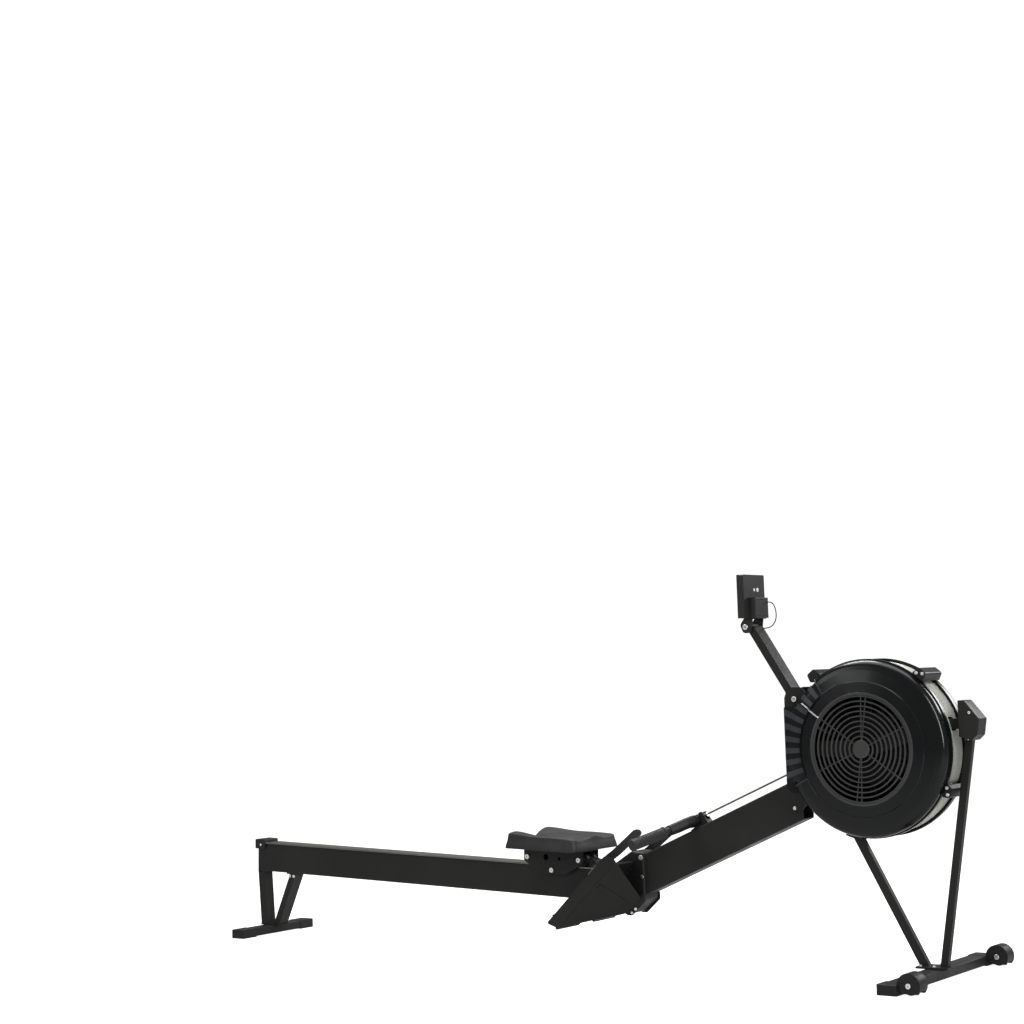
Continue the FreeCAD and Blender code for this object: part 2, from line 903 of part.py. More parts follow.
def chain_front():
    """The chain from the handle over the guide roller to the sprocket, and round its front."""
    high = size.chain_height
    wide = "dims.chain_width"
    inner = size.sprocket_radius + 0.4
    wrap = rectangle(inner, inner + 4, -size.chain_width / 2, size.chain_width / 2)
    pieces = [
        padded("chain_run", strip_outline(CHAIN_START, CHAIN_BEND, high), wide),
        padded("chain_to_sprocket", strip_outline(CHAIN_BEND, CHAIN_TOP, high), wide),
        turned("chain_wrap", wrap, HUB, -68, 176),
    ]
    return node("chain_front", fused("chain_front", pieces))


RETURN_BLOCK_X = 420
CHAIN_BOTTOM = (985, 576.3)


def return_line(x):
    """Height of the chain's return run inside the boom."""
    return boom_floor(x) + 0.5 * size.boom_rise


def chain_return():
    mouth = (760, return_line(760) + 16)
    end = (RETURN_BLOCK_X + 34, return_line(RETURN_BLOCK_X + 34))
    pieces = [
        padded("return_upper", strip_outline(CHAIN_BOTTOM, mouth, 6), "dims.chain_width"),
        padded("return_lower", strip_outline(mouth, end, 6), "dims.chain_width"),
    ]
    return node("chain_return", fused("chain_return", pieces))


def return_block():
    """The sliding pulley block inside the boom that the shock cord pulls back."""
    frame = pitched(RETURN_BLOCK_X, return_line(RETURN_BLOCK_X), -BOOM_PITCH)
    cheeks = [
        block("return_cheek_a", (-30, -16, -20), (30, -12, 20), frame),
        block("return_cheek_b", (-30, 12, -20), (30, 16, 20), frame),
        block("return_back", (-30, -13, -20), (-24, 13, 20), frame),
        rod("return_pin", 0, 0, 4, -13, 13, frame),
        turned("return_pulley", side_of(rectangle(3.5, 18, -6, 6, 2), 1), frame),
    ]
    return node("return_block", fused("return_block", cheeks))


def shock_cord():
    start = (285.4, return_line(285.4))
    end = (RETURN_BLOCK_X - 27.8, return_line(RETURN_BLOCK_X - 27.8))
    length = math.dist(start, end)
    cord = doc.addObject("Part::Cylinder", "shock_cord")
    cord.Radius = 4.5
    cord.Height = length
    along = Vector(end[0] - start[0], 0, end[1] - start[1])
    cord.Placement = Placement(Vector(start[0], 0, start[1]), Rotation(UP, along))
    return node("shock_cord", cord)


def cord_anchor():
    """The cross pin and hook inside the boom that hold the shock cord's lower end."""
    z = return_line(276)
    pin = rod("anchor_pin", 276, z, 5, -27, 27)
    frame = Placement(Vector(276, 0, z), Rotation())
    hook = turned("anchor_hook", rectangle(4.5, 10, -6, 6, 2), frame)
    return fused("cord_anchor", [pin, hook])


def damper_lever():
    """The air-setting lever, a thin bright blade, with its ring behind the shell."""
    face = size.shell_half
    blade_outline = [
        (147, -face - 0.6),
        (150, -face - 3.4),
        (180, -face - 0.5),
        (190, -face + 6.4),
        (214, -face + 9.6),
        (214, -face + 13.2),
        (188, -face + 10.2),
        (177, -face + 2.6),
    ]
    blade_frame = HUB.multiply(Placement(Vector(), Rotation(ACROSS, -144.7)))
    blade = padded("damper_blade", blade_outline, 4, blade_frame, "XY_Plane")
    pin = rod("damper_pin", 181, 0, 1.3, -face + 5, -face + 24, blade_frame)
    ring = turned("damper_ring", rectangle(150, 190, -face + 22, -face + 24), HUB, 120, 50)
    return node("damper_lever", fused("damper_lever", [blade, pin, ring]))


# ---------------------------------------------------------------- seat

LOWER_ROLLER_X = -4
LOWER_ROLLER_Z = -(size.track_lip + size.lower_roller_radius + size.running_gap)


def carriage():
    """The bent steel channel and pan under the seat, with a side plate each side of the rail."""
    outside = size.plate_inside + size.plate_thickness
    holes = [
        (-ROLLER_SPREAD, size.upper_roller_radius, size.roller_bolt_radius),
        (ROLLER_SPREAD, size.upper_roller_radius, size.roller_bolt_radius),
        (LOWER_ROLLER_X, LOWER_ROLLER_Z, size.roller_bolt_radius),
    ]
    outline = [
        (-106, 46, 4),
        (-106, 9, 8),
        (-52, -25, 8),
        (44, -25, 8),
        (106, 9, 8),
        (106, 46, 4),
    ]
    windows = [(-26, 22, 9), (22, 20, 5)]
    pieces = []
    for side in (-1, 1):
        middle = side * (size.plate_inside + outside) / 2
        frame = shifted(CARRIAGE, 0, middle, 0)
        plate = padded(
            f"carriage_plate_{side + 1}",
            outline,
            "dims.plate_thickness",
            frame,
            "XZ_Plane",
            holes + windows,
        )
        pieces.append(plate)
    pieces.append(block("carriage_web", (-106, -outside, 43), (106, outside, 46), CARRIAGE))
    pan_outline = rectangle(-95, 100, -88, 88, 24)
    pan_frame = shifted(CARRIAGE, 0, 0, 46)
    pieces.append(padded("seat_pan", pan_outline, 6, pan_frame, "XY_Plane", (), False))
    return node("carriage", fused("carriage", pieces))


def seat_pad():
    """The moulded seat: a plain closed solid of the seat's true outside size."""
    half = size.seat_width / 2
    front = 131
    back = front - size.seat_length
    outline = [(back, -half, 12), (front, -half, 40), (front, half, 40), (back, half, 12)]
    frame = shifted(CARRIAGE, 0, 0, 52)
    pad = padded("seat_block", outline, "dims.seat_thickness", frame, "XY_Plane", (), False)
    top = lambda e: e.BoundBox.ZMin > 340
    rounded = softened("seat_pad", pad, 9, top)
    return node("seat_pad", rounded)


def roller_bolts():
    """The bolts that the seat's rollers turn on."""
    radius = size.roller_bolt_radius
    outside = size.plate_inside + size.plate_thickness
    through = [
        (0, -outside - 5),
        (7.5, -outside - 5, 1),
        (7.5, -outside),
        (radius, -outside),
        (radius, outside),
        (7.5, outside),
        (7.5, outside + 5, 1),
        (0, outside + 5),
    ]
    stub = [
        (0, 25.6),
        (radius, 25.6),
        (radius, outside),
        (7.5, outside),
        (7.5, outside + 5, 1),
        (0, outside + 5),
    ]
    pieces = []
    for count, x in enumerate((-ROLLER_SPREAD, ROLLER_SPREAD)):
        frame = shifted(CARRIAGE, x, 0, size.upper_roller_radius)
        pieces.append(turned(f"roller_bolt_{count}", through, frame))
    frame = shifted(CARRIAGE, LOWER_ROLLER_X, 0, LOWER_ROLLER_Z)
    for side in (-1, 1):
        pieces.append(turned(f"roller_stub_{side + 1}", side_of(stub, side), frame))
    return node("roller_bolts", group("roller_bolts", pieces))


def upper_rollers(name, x):
    """A pair of rollers on one bolt, running on the top of the track."""
    bore = size.roller_bolt_radius + size.running_gap
    rim = size.upper_roller_radius - size.running_gap
    outline = [
        (bore, 9),
        (11, 9),
        (12, 11),
        (15, 11),
        (rim, 11, 1.5),
        (rim, 25, 1.5),
        (15, 25),
        (12, 25),
        (11, 37.5),
        (bore, 37.5),
    ]
    frame = shifted(CARRIAGE, x, 0, size.upper_roller_radius)
    pair = [turned(f"{name}_{side + 1}", side_of(outline, side), frame) for side in (-1, 1)]
    return node(name, group(name, pair))


def lower_rollers():
    """The small rollers under the track's lips that hold the seat down."""
    bore = size.roller_bolt_radius + size.running_gap
    rim = size.lower_roller_radius
    outline = [(bore, 26), (rim, 26, 0.8), (rim, 35, 0.8), (7, 35), (7, 37.5), (bore, 37.5)]
    frame = shifted(CARRIAGE, LOWER_ROLLER_X, 0, LOWER_ROLLER_Z)
    pair = [turned(f"lower_roller_{side + 1}", side_of(outline, side), frame) for side in (-1, 1)]
    return node("lower_rollers", group("lower_rollers", pair))


# ---------------------------------------------------------------- footrest

HEEL = (-18, 106)
TOE = (190, 302)
BOARD_ANGLE = math.degrees(math.atan2(TOE[1] - HEEL[1], TOE[0] - HEEL[0]))
BOARD_DROP = 26
BOARD = pitched(HEEL[0], HEEL[1], -BOARD_ANGLE)
BOARD_LENGTH = math.dist(HEEL, TOE)


WEB_FOLD = 34
WEB_LEAN = 49


def foot_plates():
    """Both sheet-steel foot supports: a side wall, a web slanting in to the joint, and a shelf."""
    outside = size.foot_plate_outside
    thick = size.foot_plate_thickness
    middle = outside - thick / 2
    end = BOARD_LENGTH
    wall = [(0, 0, 5), (end, 0, 5), (end + 18, -22, 6), (end + 18, -WEB_FOLD - 2), (19, -WEB_FOLD - 2, 3)]
    side_wall = padded("side_wall", wall, "dims.foot_plate_thickness", shifted(BOARD, 0, middle, 0))
    lean = Placement(Vector(0, middle, -WEB_FOLD), Rotation(Vector(1, 0, 0), -WEB_LEAN))
    web_frame = BOARD.multiply(lean)
    web = [(19, 0), (175, -140, 4), (234, -143, 6), (end + 18, 0)]
    side_web = padded("side_web", web, "dims.foot_plate_thickness", web_frame)
    rib_frame = web_frame.multiply(Placement(Vector(0, thick / 2 + 0.6, 0), Rotation()))
    rib = padded("side_rib", strip_outline((208, -12), (196, -118), 18), 1.6, rib_frame)
    shelf_top = -BOARD_DROP - size.footboard_thickness
    shelf = block("foot_shelf", (14, 38, shelf_top - 3), (end + 4, outside - 1, shelf_top), BOARD)
    inner_lip = block("foot_inner_lip", (50, 38, shelf_top - 14), (end - 20, 41, shelf_top), BOARD)
    ear = [(160, 150), (190, 125, 4), (206, 125, 6), (252, 166, 6), (252, 188, 4), (170, 176, 4)]
    ear_frame = Placement(Vector(0, 39, 0), Rotation())
    left = fused(
        "foot_plate_left",
        [side_wall, side_web, rib, shelf, inner_lip, padded("side_ear", ear, 4, ear_frame)],
    )
    return node("foot_plates", group("foot_plates", [left, mirrored("foot_plate_right", left)]))


def footboards():
    """The moulded boards that the soles rest on, ribbed across."""
    low = -BOARD_DROP - size.footboard_thickness
    board = block("board_base", (10, 42, low), (BOARD_LENGTH, 145, -BOARD_DROP - 2), BOARD)
    ribs = []
    for count in range(9):
        x = 120 + 18 * count
        low, high = (x, 48, -BOARD_DROP - 3), (x + 9, 139, -BOARD_DROP)
        ribs.append(block(f"board_rib_{count}", low, high, BOARD))
    left = fused("board_left", [board] + ribs)
    return node("footboards", group("footboards", [left, mirrored("board_right", left)]))


def heel_cup(name, side):
    """A heel cup that slides up and down the footboard to suit the foot."""
    low = -BOARD_DROP + size.free_gap
    outline = [
        (22, low),
        (104, low),
        (104, low + 4, 1.5),
        (34, low + 4, 3),
        (27, low + 34, 3),
        (22, low + 34, 1),
    ]
    cup = padded(f"{name}_bent", outline, 84, shifted(BOARD, 0, 94, 0))
    cheeks = []
    for count, y in enumerate((52, 132)):
        wedge = [(24, low + 2), (80, low + 2), (60, low + 16, 4), (26, low + 30, 2)]
        cheeks.append(padded(f"{name}_cheek_{count}", wedge, 4, shifted(BOARD, 0, y + 2, 0)))
    whole = fused(f"{name}_solid", [cup] + cheeks)
    if side > 0:
        return node(name, whole)
    return node(name, mirrored(name, whole))


def strap_outline():
    """The strap's line across the foot, in the (y, height above the board) plane."""
    thick = size.strap_thickness
    outer = [(44, 0), (44, 26, 14), (62, 42, 16), (124, 42, 16), (143, 26, 14), (143, 0)]
    inner = [
        (143 - thick, 0),
        (143 - thick, 25, 12),
        (123, 42 - thick, 14),
        (63, 42 - thick, 14),
        (44 + thick, 25, 12),
        (44 + thick, 0),
    ]
    return outer + inner


TAIL_END = (282, 368)
TAIL_SLOPE = 33
TAIL_LENGTH = 112


def foot_straps():
    """A webbing strap over each foot, with its loose end standing up past the toe."""
    middle = 100
    half = size.strap_width / 2
    frame = shifted(BOARD, 214, 0, -BOARD_DROP - 2)
    loop = padded("strap_loop", strap_outline(), "dims.strap_width", frame, "YZ_Plane")
    tail_frame = pitched(TAIL_END[0], TAIL_END[1], -TAIL_SLOPE)
    bend = tail_frame.multVec(Vector(-TAIL_LENGTH, 0, 0))
    start = BOARD.multVec(Vector(214, 0, 12.7))
    side = Placement(Vector(0, middle, 0), Rotation())
    lead = padded("strap_lead", strip_outline((start.x, start.z), (bend.x, bend.z), 2.4), 30, side)
    tail_low, tail_high = (-TAIL_LENGTH - 1, middle - half, -2), (-half, middle + half, 2)
    tail = block("strap_tail", tail_low, tail_high, tail_frame)
    end = doc.addObject("Part::Cylinder", "strap_tail_end")
    end.setExpression("Radius", "dims.strap_width / 2")
    end.Height = 4
    end.Placement = tail_frame.multiply(Placement(Vector(-half, middle, -2), Rotation()))
    left = fused("strap_left", [loop, lead, tail, end])
    return node("foot_straps", group("foot_straps", [left, mirrored("strap_right", left)]))


def strap_buckles():
    """The cam buckle on top of each strap."""
    low = -BOARD_DROP + 40.2
    frame_block = block("buckle_block", (195, 62, low), (233, 80, low + 7), BOARD)
    left = softened("buckle_left", frame_block, 2, lambda e: e.Length > 20)
    return node("strap_buckles", group("strap_buckles", [left, mirrored("buckle_right", left)]))


def footrest_bracket():
    """The block under the joint that both foot plates are bolted to."""
    outline = [(156, 155.03), (190, 130, 4), (202, 130, 4), (246, 167.4)]
    half = size.rail_width / 2
    rail_space = block("bracket_rail_space", (1380, -half, -size.rail_height), (1470, half, 0), RAIL)
    solid = padded("cross_block", outline, 74)
    return node("footrest_bracket", cut("footrest_bracket", solid, [rail_space]))


# ---------------------------------------------------------------- handle

GRIP_START = (-42, 116.4)
GRIP_END = (-92, 222)


def handle_bar():
    """A steel bar, straight in the middle and swept back on both sides."""
    body = new_body("handle_bar", HANDLE)
    path = body.newObject("Sketcher::SketchObject", "handle_path")
    path.AttachmentSupport = [(origin_plane(body, "XY_Plane"), "")]
    path.MapMode = "FlatFace"
    along = Vector(GRIP_END[0] - GRIP_START[0], GRIP_END[1] - GRIP_START[1], 0).normalize()
    bend = Vector(0, GRIP_START[1] - GRIP_START[0] * along.y / along.x, 0)
    half_turn = ACROSS.getAngle(along) / 2
    reach = 60 * math.tan(half_turn)
    first = bend - ACROSS * reach
    second = bend + along * reach
    centre = first + Vector(-60, 0, 0)
    middle = centre + (bend - centre).normalize() * 60
    end = Vector(GRIP_END[0], GRIP_END[1], 0) - along * 4
    path.addGeometry(Part.LineSegment(Vector(), first), False)
    path.addGeometry(Part.Arc(first, middle, second), False)
    path.addGeometry(Part.LineSegment(second, end), False)
    ring = new_sketch(body, "XZ_Plane", [], [(0, 0, size.handle_bar_radius)])
    doc.recompute()
    pipe = body.newObject("PartDesign::AdditivePipe", "handle_half")
    pipe.Profile = ring
    pipe.Spine = (path, ["Edge1", "Edge2", "Edge3"])
    mirror = body.newObject("PartDesign::Mirrored", "handle_halves")
    mirror.Originals = [pipe]
    mirror.MirrorPlane = (origin_plane(body, "XZ_Plane"), [""])
    body.Tip = mirror
    return node("handle_bar", body)


def grip_frame():
    """A frame whose Y axis runs outward along the left grip."""
    along = Vector(GRIP_END[0] - GRIP_START[0], GRIP_END[1] - GRIP_START[1], 0)
    turn = Rotation(ACROSS, along)
    return HANDLE.multiply(Placement(Vector(GRIP_START[0], GRIP_START[1], 0), turn)), along.Length


def handle_grips():
    """Two ribbed rubber grips."""
    frame, length = grip_frame()
    bore = size.handle_bar_radius
    rim = size.grip_radius
    outline = [(bore, 0), (rim + 1, 0, 1.5), (rim + 1, 6, 1.5)]
    step = 8
    for count in range(int((length - 16) / step)):
        start = 8 + count * step
        outline += [(rim - 1, start), (rim - 1, start + 1.5), (rim, start + 3), (rim, start + step - 1.5)]
    outline += [
        (rim - 1, length - 8),
        (rim + 1, length - 6),
        (rim + 1, length + 4, 6),
        (0, length + 4),
        (0, length - 4),
        (bore, length - 4),
    ]
    left = turned("grip_left", outline, frame)
    return node("handle_grips", group("handle_grips", [left, mirrored("grip_right", left)]))


def handle_yoke(bar):
    """The moulded middle of the handle, over the bar."""
    outline = [
        (17, -34, 8),
        (17, 34, 8),
        (6, 60, 20),
        (-24, 106),
        (-52, 106),
        (-34, 60, 20),
        (-18, 34, 12),
        (-18, -34, 12),
        (-34, -60, 20),
        (-52, -106),
        (-24, -106),
        (6, -60, 20),
    ]
    solid = padded("yoke_solid", outline, 27, HANDLE, "XY_Plane")
    hollow = block("yoke_trim", (-70, 106, -30), (10, 120, 30), HANDLE)
    rounded = softened("yoke_round", solid, 8, yoke_rim)
    return node("handle_yoke", cut("handle_yoke", rounded, [hollow, bar]))


def yoke_rim(edge):
    """True for the long edges of the yoke's top and bottom faces."""
    local = [HANDLE.inverse().multVec(v.Point) for v in edge.Vertexes]
    flat = all(abs(abs(p.z) - 13.5) < 0.01 for p in local)
    across_end = all(abs(abs(p.y) - 106) < 0.01 for p in local)
    return flat and not across_end


def chain_swivel():
    """The clevis and swivel that join the chain to the middle of the handle."""
    pitch = math.degrees(math.atan2(CHAIN_BEND[1] - CHAIN_START[1], CHAIN_BEND[0] - CHAIN_START[0]))
    frame = pitched(CHAIN_START[0], CHAIN_START[1], -pitch)
    barrel = doc.addObject("Part::Cylinder", "swivel_barrel")
    barrel.Radius = 5.5
    barrel.Height = 18
    barrel.Placement = frame.multiply(Placement(Vector(-18.2, 0, 0), Rotation(ACROSS, 90)))
    neck = doc.addObject("Part::Cylinder", "swivel_neck")
    neck.Radius = 3.5
    neck.Height = 5
    neck.Placement = frame.multiply(Placement(Vector(-22, 0, 0), Rotation(ACROSS, 90)))
    return node("chain_swivel", fused("chain_swivel", [barrel, neck]))


def handle_hook():
    """The rest on top of the boom: a saddle with two prongs that the handle hangs in front of."""
    turn = math.radians(size.handle_tilt - BOOM_PITCH)
    depth = (size.handle_z - boom_roof(size.handle_x)) * math.cos(math.radians(BOOM_PITCH))

    def roof(x):
        return -depth / math.cos(turn) - x * math.tan(turn)

    saddle = [(-24, roof(-24)), (36, roof(36)), (36, -17), (-24, -14)]
    prong = [(19, -19), (36, -19), (35, 10, 5), (25, 12, 4), (19, 4, 3)]
    pieces = [padded("hook_saddle", saddle, 30, HANDLE)]
    for side in (-1, 1):
        pieces.append(padded(f"hook_prong_{side + 1}", prong, 5, shifted(HANDLE, 0, side * 11.5, 0)))
    return node("handle_hook", fused("handle_hook", pieces))


# ---------------------------------------------------------------- monitor

ARM_LENGTH = math.hypot(size.tilt_pivot_x - size.arm_pivot_x, size.tilt_pivot_z - size.arm_pivot_z)
ARM_ANGLE = math.degrees(
    math.atan2(size.tilt_pivot_z - size.arm_pivot_z, size.tilt_pivot_x - size.arm_pivot_x)
)
ARM = pitched(size.arm_pivot_x, size.arm_pivot_z, -ARM_ANGLE)


def monitor_arm():
    """A channel-section arm, open towards the rower, with a barrel at each end."""
    outline = [
        (0, 16, 10),
        (0, -6, 4),
        (16, -6),
        (ARM_LENGTH - 16, -18, 4),
        (ARM_LENGTH - 8, -18, 4),
        (ARM_LENGTH - 8, 4, 6),
        (30, 16),
    ]
    solid = padded("arm_solid", outline, "dims.arm_width", ARM)
    hollow = padded(
        "arm_hollow",
        [(22, 20), (22, -2.5), (ARM_LENGTH - 26, -14.5), (ARM_LENGTH - 26, 20)],
        "dims.arm_width - 2 * dims.arm_wall",
        ARM,
    )
    open_arm = cut("arm_open", solid, [hollow])
    barrels = [
        rod("arm_low_barrel", 0, 0, 13, -29.8, 29.8, ARM),
        rod("arm_high_barrel", ARM_LENGTH, 0, 14, -27, 27, ARM),
    ]
    ribs = []
    for count in range(3):
        x = 70 + 45 * count
        low = -3 - 12 * x / ARM_LENGTH
        ribs.append(block(f"arm_rib_{count}", (x, -22, low), (x + 3, 22, low + 14), ARM))
    whole = fused("arm_whole", [open_arm] + barrels + ribs)
    holes = [
        rod("arm_low_bore", 0, 0, 5, -40, 40, ARM),
        rod("arm_high_bore", ARM_LENGTH, 0, 5, -40, 40, ARM),
    ]
    return node("monitor_arm", cut("monitor_arm", whole, holes))


def pivot_pin(name, x, z, reach):
    """A pivot bolt with a round head at each end."""
    outline = [
        (0, -reach - 5),
        (8, -reach - 5, 1.5),
        (8, -reach),
        (5, -reach),
        (5, reach),
        (8, reach),
        (8, reach + 5, 1.5),
        (0, reach + 5),
    ]
    return turned(name, outline, Placement(Vector(x, 0, z), Rotation()))


def arm_pins():
    """The bolts at both ends of the arm, which turn with it."""
    low = pivot_pin("arm_low_pin", size.arm_pivot_x, size.arm_pivot_z, 34.3)
    high = pivot_pin("arm_high_pin", size.tilt_pivot_x, size.tilt_pivot_z, 32.4)
    return node("arm_pins", group("arm_pins", [low, high]))


BACK_X = 626
MONITOR_LOW = 958
MONITOR_HIGH = 1079


def monitor_back():
    """The monitor's back shell with its battery box and the lugs of the tilt hinge."""
    half = size.monitor_width / 2
    panel = block("panel_back", (611, -half, MONITOR_LOW), (BACK_X, half, MONITOR_HIGH))
    rounded = softened("panel_round", panel, 4, lambda e: e.BoundBox.XLength > 10)
    box = block("battery_box", (BACK_X - 1, -37, MONITOR_LOW), (649, 37, 1015))
    soft_box = softened("battery_round", box, 3, lambda e: e.BoundBox.XMin > 640)
    lugs = []
    x, z = size.tilt_pivot_x, size.tilt_pivot_z
    for side in (-1, 1):
        outline = [
            (x - 18, z + 6, 12),
            (x - 8, z - 18, 12),
            (x + 16, z - 16, 12),
            (x + 22, z + 30),
            (x, z + 30),
        ]
        frame = Placement(Vector(0, side * 29.8, 0), Rotation())
        lugs.append(padded(f"tilt_lug_{side + 1}", outline, 5, frame))
    neck = block("tilt_neck", (x + 1, -32, z + 22), (x + 30, 32, z + 26))
    whole = fused("back_whole", [rounded, soft_box, neck] + lugs)
    jacks = [
        rod_along_x("jack_large", 18, 1037, 6, BACK_X - 8, BACK_X + 5),
        rod_along_x("jack_small", 0, 1037, 4.5, BACK_X - 8, BACK_X + 5),
    ]
    hollow = block("panel_hollow", (605, -half + 3, MONITOR_LOW + 3), (617, half - 3, MONITOR_HIGH - 3))
    pin_hole = rod("tilt_lug_hole", x, z, 5 + size.running_gap, -40, 40)
    bezel_space = block("bezel_space", (595, -half, MONITOR_LOW), (611, half, MONITOR_HIGH))
    return node("monitor_back", cut("monitor_back", whole, jacks + [hollow, pin_hole, bezel_space]))


def rod_along_x(name, y, z, radius, x_low, x_high):
    pin = doc.addObject("Part::Cylinder", name)
    set_size(pin, "Radius", radius)
    pin.Height = x_high - x_low
    pin.Placement = Placement(Vector(x_low, y, z), Rotation(ACROSS, 90))
    return pin


BUTTON_YS = (-30, 0, 30)
BUTTON_Z = 976


def monitor_front():
    """The front bezel with the window for the display and the button holes."""
    half = size.monitor_width / 2
    bezel = block("bezel_block", (603, -half, MONITOR_LOW), (611, half, MONITOR_HIGH))
    rounded = softened("bezel_round", bezel, 3, lambda e: e.BoundBox.XMax < 604)
    window = block("bezel_window", (600, -43, 997), (606, 43, 1067))
    seat = block("bezel_hollow", (606, -half + 4, MONITOR_LOW + 4), (612, half - 4, MONITOR_HIGH - 4))
    holes = []
    for count, y in enumerate(BUTTON_YS):
        radius = size.button_radius + size.slip_gap
        holes.append(rod_along_x(f"button_hole_{count}", y, BUTTON_Z, radius, 598, 612))
    return node("monitor_front", cut("monitor_front", rounded, [window, seat] + holes))


def monitor_lens():
    return node("monitor_lens", block("monitor_lens", (604.2, -43, 997), (606, 43, 1067)))


def monitor_button(count, y):
    name = f"monitor_button_{count + 1}"
    cap = rod_along_x(f"{name}_cap", y, BUTTON_Z, "dims.button_radius", 601, 608)
    foot = rod_along_x(f"{name}_foot", y, BUTTON_Z, 7.5, 606.4, 608)
    return node(name, fused(name, [cap, foot]))


CABLE_ROUTE = [
    Vector(649.4, 30, 1002),
    Vector(662, 31, 1003),
    Vector(672, 33, 987),
    Vector(675, 34, 962),
    Vector(668, 32, 940),
    Vector(652, 27, 929),
    Vector(640.2, 20, 929.5),
]


def bent_wire(route, label):
    """Straight runs joined by tangent arcs, each as large as its two runs allow."""
    edges = []
    here = route[0]
    for i in range(1, len(route) - 1):
        back = route[i - 1] - route[i]
        ahead = route[i + 1] - route[i]
        half_turn = (math.pi - back.getAngle(ahead)) / 2
        reach = 0.45 * min(back.Length, ahead.Length)
        radius = reach / math.tan(half_turn)
        print(label, "bend", i, "radius", round(radius, 1), "turn", round(math.degrees(2 * half_turn)))
        start = route[i] + back.normalize() * reach
        end = route[i] + ahead.normalize() * reach
        inward = (back + ahead).normalize()
        centre = route[i] + inward * (radius / math.cos(half_turn))
        edges.append(Part.LineSegment(here, start).toShape())
        edges.append(Part.Arc(start, centre - inward * radius, end).toShape())
        here = end
    edges.append(Part.LineSegment(here, route[-1]).toShape())
    return Part.Wire(edges)


def monitor_cable():
    """The short sensor cable from the monitor's back into the arm."""
    wire = bent_wire(CABLE_ROUTE, "monitor_cable")
    start = CABLE_ROUTE[0]
    circle = Part.Wire(Part.Circle(start, CABLE_ROUTE[1] - start, size.cable_radius).toShape())
    feature = doc.addObject("Part::Feature", "monitor_cable")
    feature.Shape = wire.makePipeShell([circle], True, False)
    section = math.pi * size.cable_radius**2
    fill = feature.Shape.Volume / section / wire.Length
    print("cable length", round(wire.Length, 1), "volume ratio", round(fill, 4))
    return node("monitor_cable", feature)


# ---------------------------------------------------------------- fasteners


def screw_head(name, frame, radius, height, stem_radius, stem):
    """A round-headed bolt along the frame's Y axis, head outward, from its seat at y = 0."""
    outline = [
        (0, height),
        (radius, height, 1),
        (radius, 0),
        (stem_radius, 0),
        (stem_radius, -stem),
        (0, -stem),
    ]
    return turned(name, outline, frame)


def side_frame(x, y, z):
    """A frame at a point on the machine's side with its Y axis pointing outward."""
    if y > 0:
        return Placement(Vector(x, y, z), Rotation())
    return Placement(Vector(x, y, z), Rotation(UP, 180))


def frame_bolts():
    """The frame's bolts and screws, as seen on both sides."""
    pieces = []
    spots = [
        (243, 37, 236, 5, 3),
        (241, 37, 290, 7, 4),
        (744, 34.2, 437, 5, 3),
        (220, 41, 144.5, 4.5, 3),
        (207, 41, 133, 4, 3),
        (1258, 25, 688, 4, 3),
        (-1258, 31, 289, 4, 3),
    ]
    for count, (x, y, z, radius, height) in enumerate(spots):
        for side in (-1, 1):
            name = f"bolt_{count}_{side + 1}"
            pieces.append(screw_head(name, side_frame(x, side * y, z), radius, height, 2, 0.01))
    for count, (x, z) in enumerate(((-1124, 189.4), (-1140, 189.9))):
        frame = side_frame(x, -20, z)
        pieces.append(screw_head(f"brace_bolt_{count}", frame, 5, 3, 2, 0.01))
    for count, (angle, top) in enumerate(CLAMPS[:2]):
        frame = HUB.multiply(Placement(Vector(), Rotation(ACROSS, -angle)))
        for place, (reach, lean) in enumerate(((top - 16, 9), (top - 7, -6))):
            for side in (-1, 1):
                spot = frame.multVec(Vector(reach, side * 50, lean))
                name = f"clamp_bolt_{count}_{place}_{side + 1}"
                pieces.append(screw_head(name, side_frame(spot.x, spot.y, spot.z), 4.5, 3, 2, 0.01))
    for count, (x, y) in enumerate(((-40, -20), (-40, 20), (0, -22), (0, 22))):
        frame = Placement(Vector(size.front_foot_x + x, y, 32), Rotation(Vector(1, 0, 0), 90))
        pieces.append(screw_head(f"foot_plate_bolt_{count}", frame, 5, 4, 2, 0.01))
    pieces += wheel_bolts()
    return node("frame_bolts", group("frame_bolts", pieces))


def wheel_bolts():
    """The wheel axles with their round heads."""
    radius = size.wheel_bolt_radius
    outline = [
        (0, 246),
        (7, 246, 1),
        (7, 249),
        (radius, 249),
        (radius, 294),
        (7, 294),
        (7, 297.5, 1),
        (0, 297.5),
    ]
    centre = Placement(Vector(WHEEL_X, 0, WHEEL_Z), Rotation())
    return [turned(f"wheel_bolt_{side + 1}", side_of(outline, side), centre) for side in (-1, 1)]


def drive_pins():
    """The pin of the chain's guide roller, and the shock cord's anchor inside the boom."""
    outline = [(0, -37), (7, -37, 1), (7, -34.2), (4, -34.2), (4, 34.2), (7, 34.2), (7, 37, 1), (0, 37)]
    frame = Placement(Vector(GUIDE_X, 0, GUIDE_Z), Rotation())
    return node("drive_pins", group("drive_pins", [turned("guide_pin", outline, frame), cord_anchor()]))


# ---------------------------------------------------------------- the whole machine


def build_frame():
    rail_beam()
    rail_track()
    rail_bumpers()
    rear_leg()
    foot_tube("rear_foot_tube", size.rear_foot_x, "dims.rear_foot_span - 14")
    rear_foot_caps()
    foot_tube("front_foot_tube", size.front_foot_x, "dims.front_foot_span - 30")
    front_foot_caps()
    wheel("wheel_left", 1)
    wheel("wheel_right", -1)
    front_leg()
    front_end_box()
    boom_tube()
    joint_housing()
    head_bracket()
    frame_bolts()


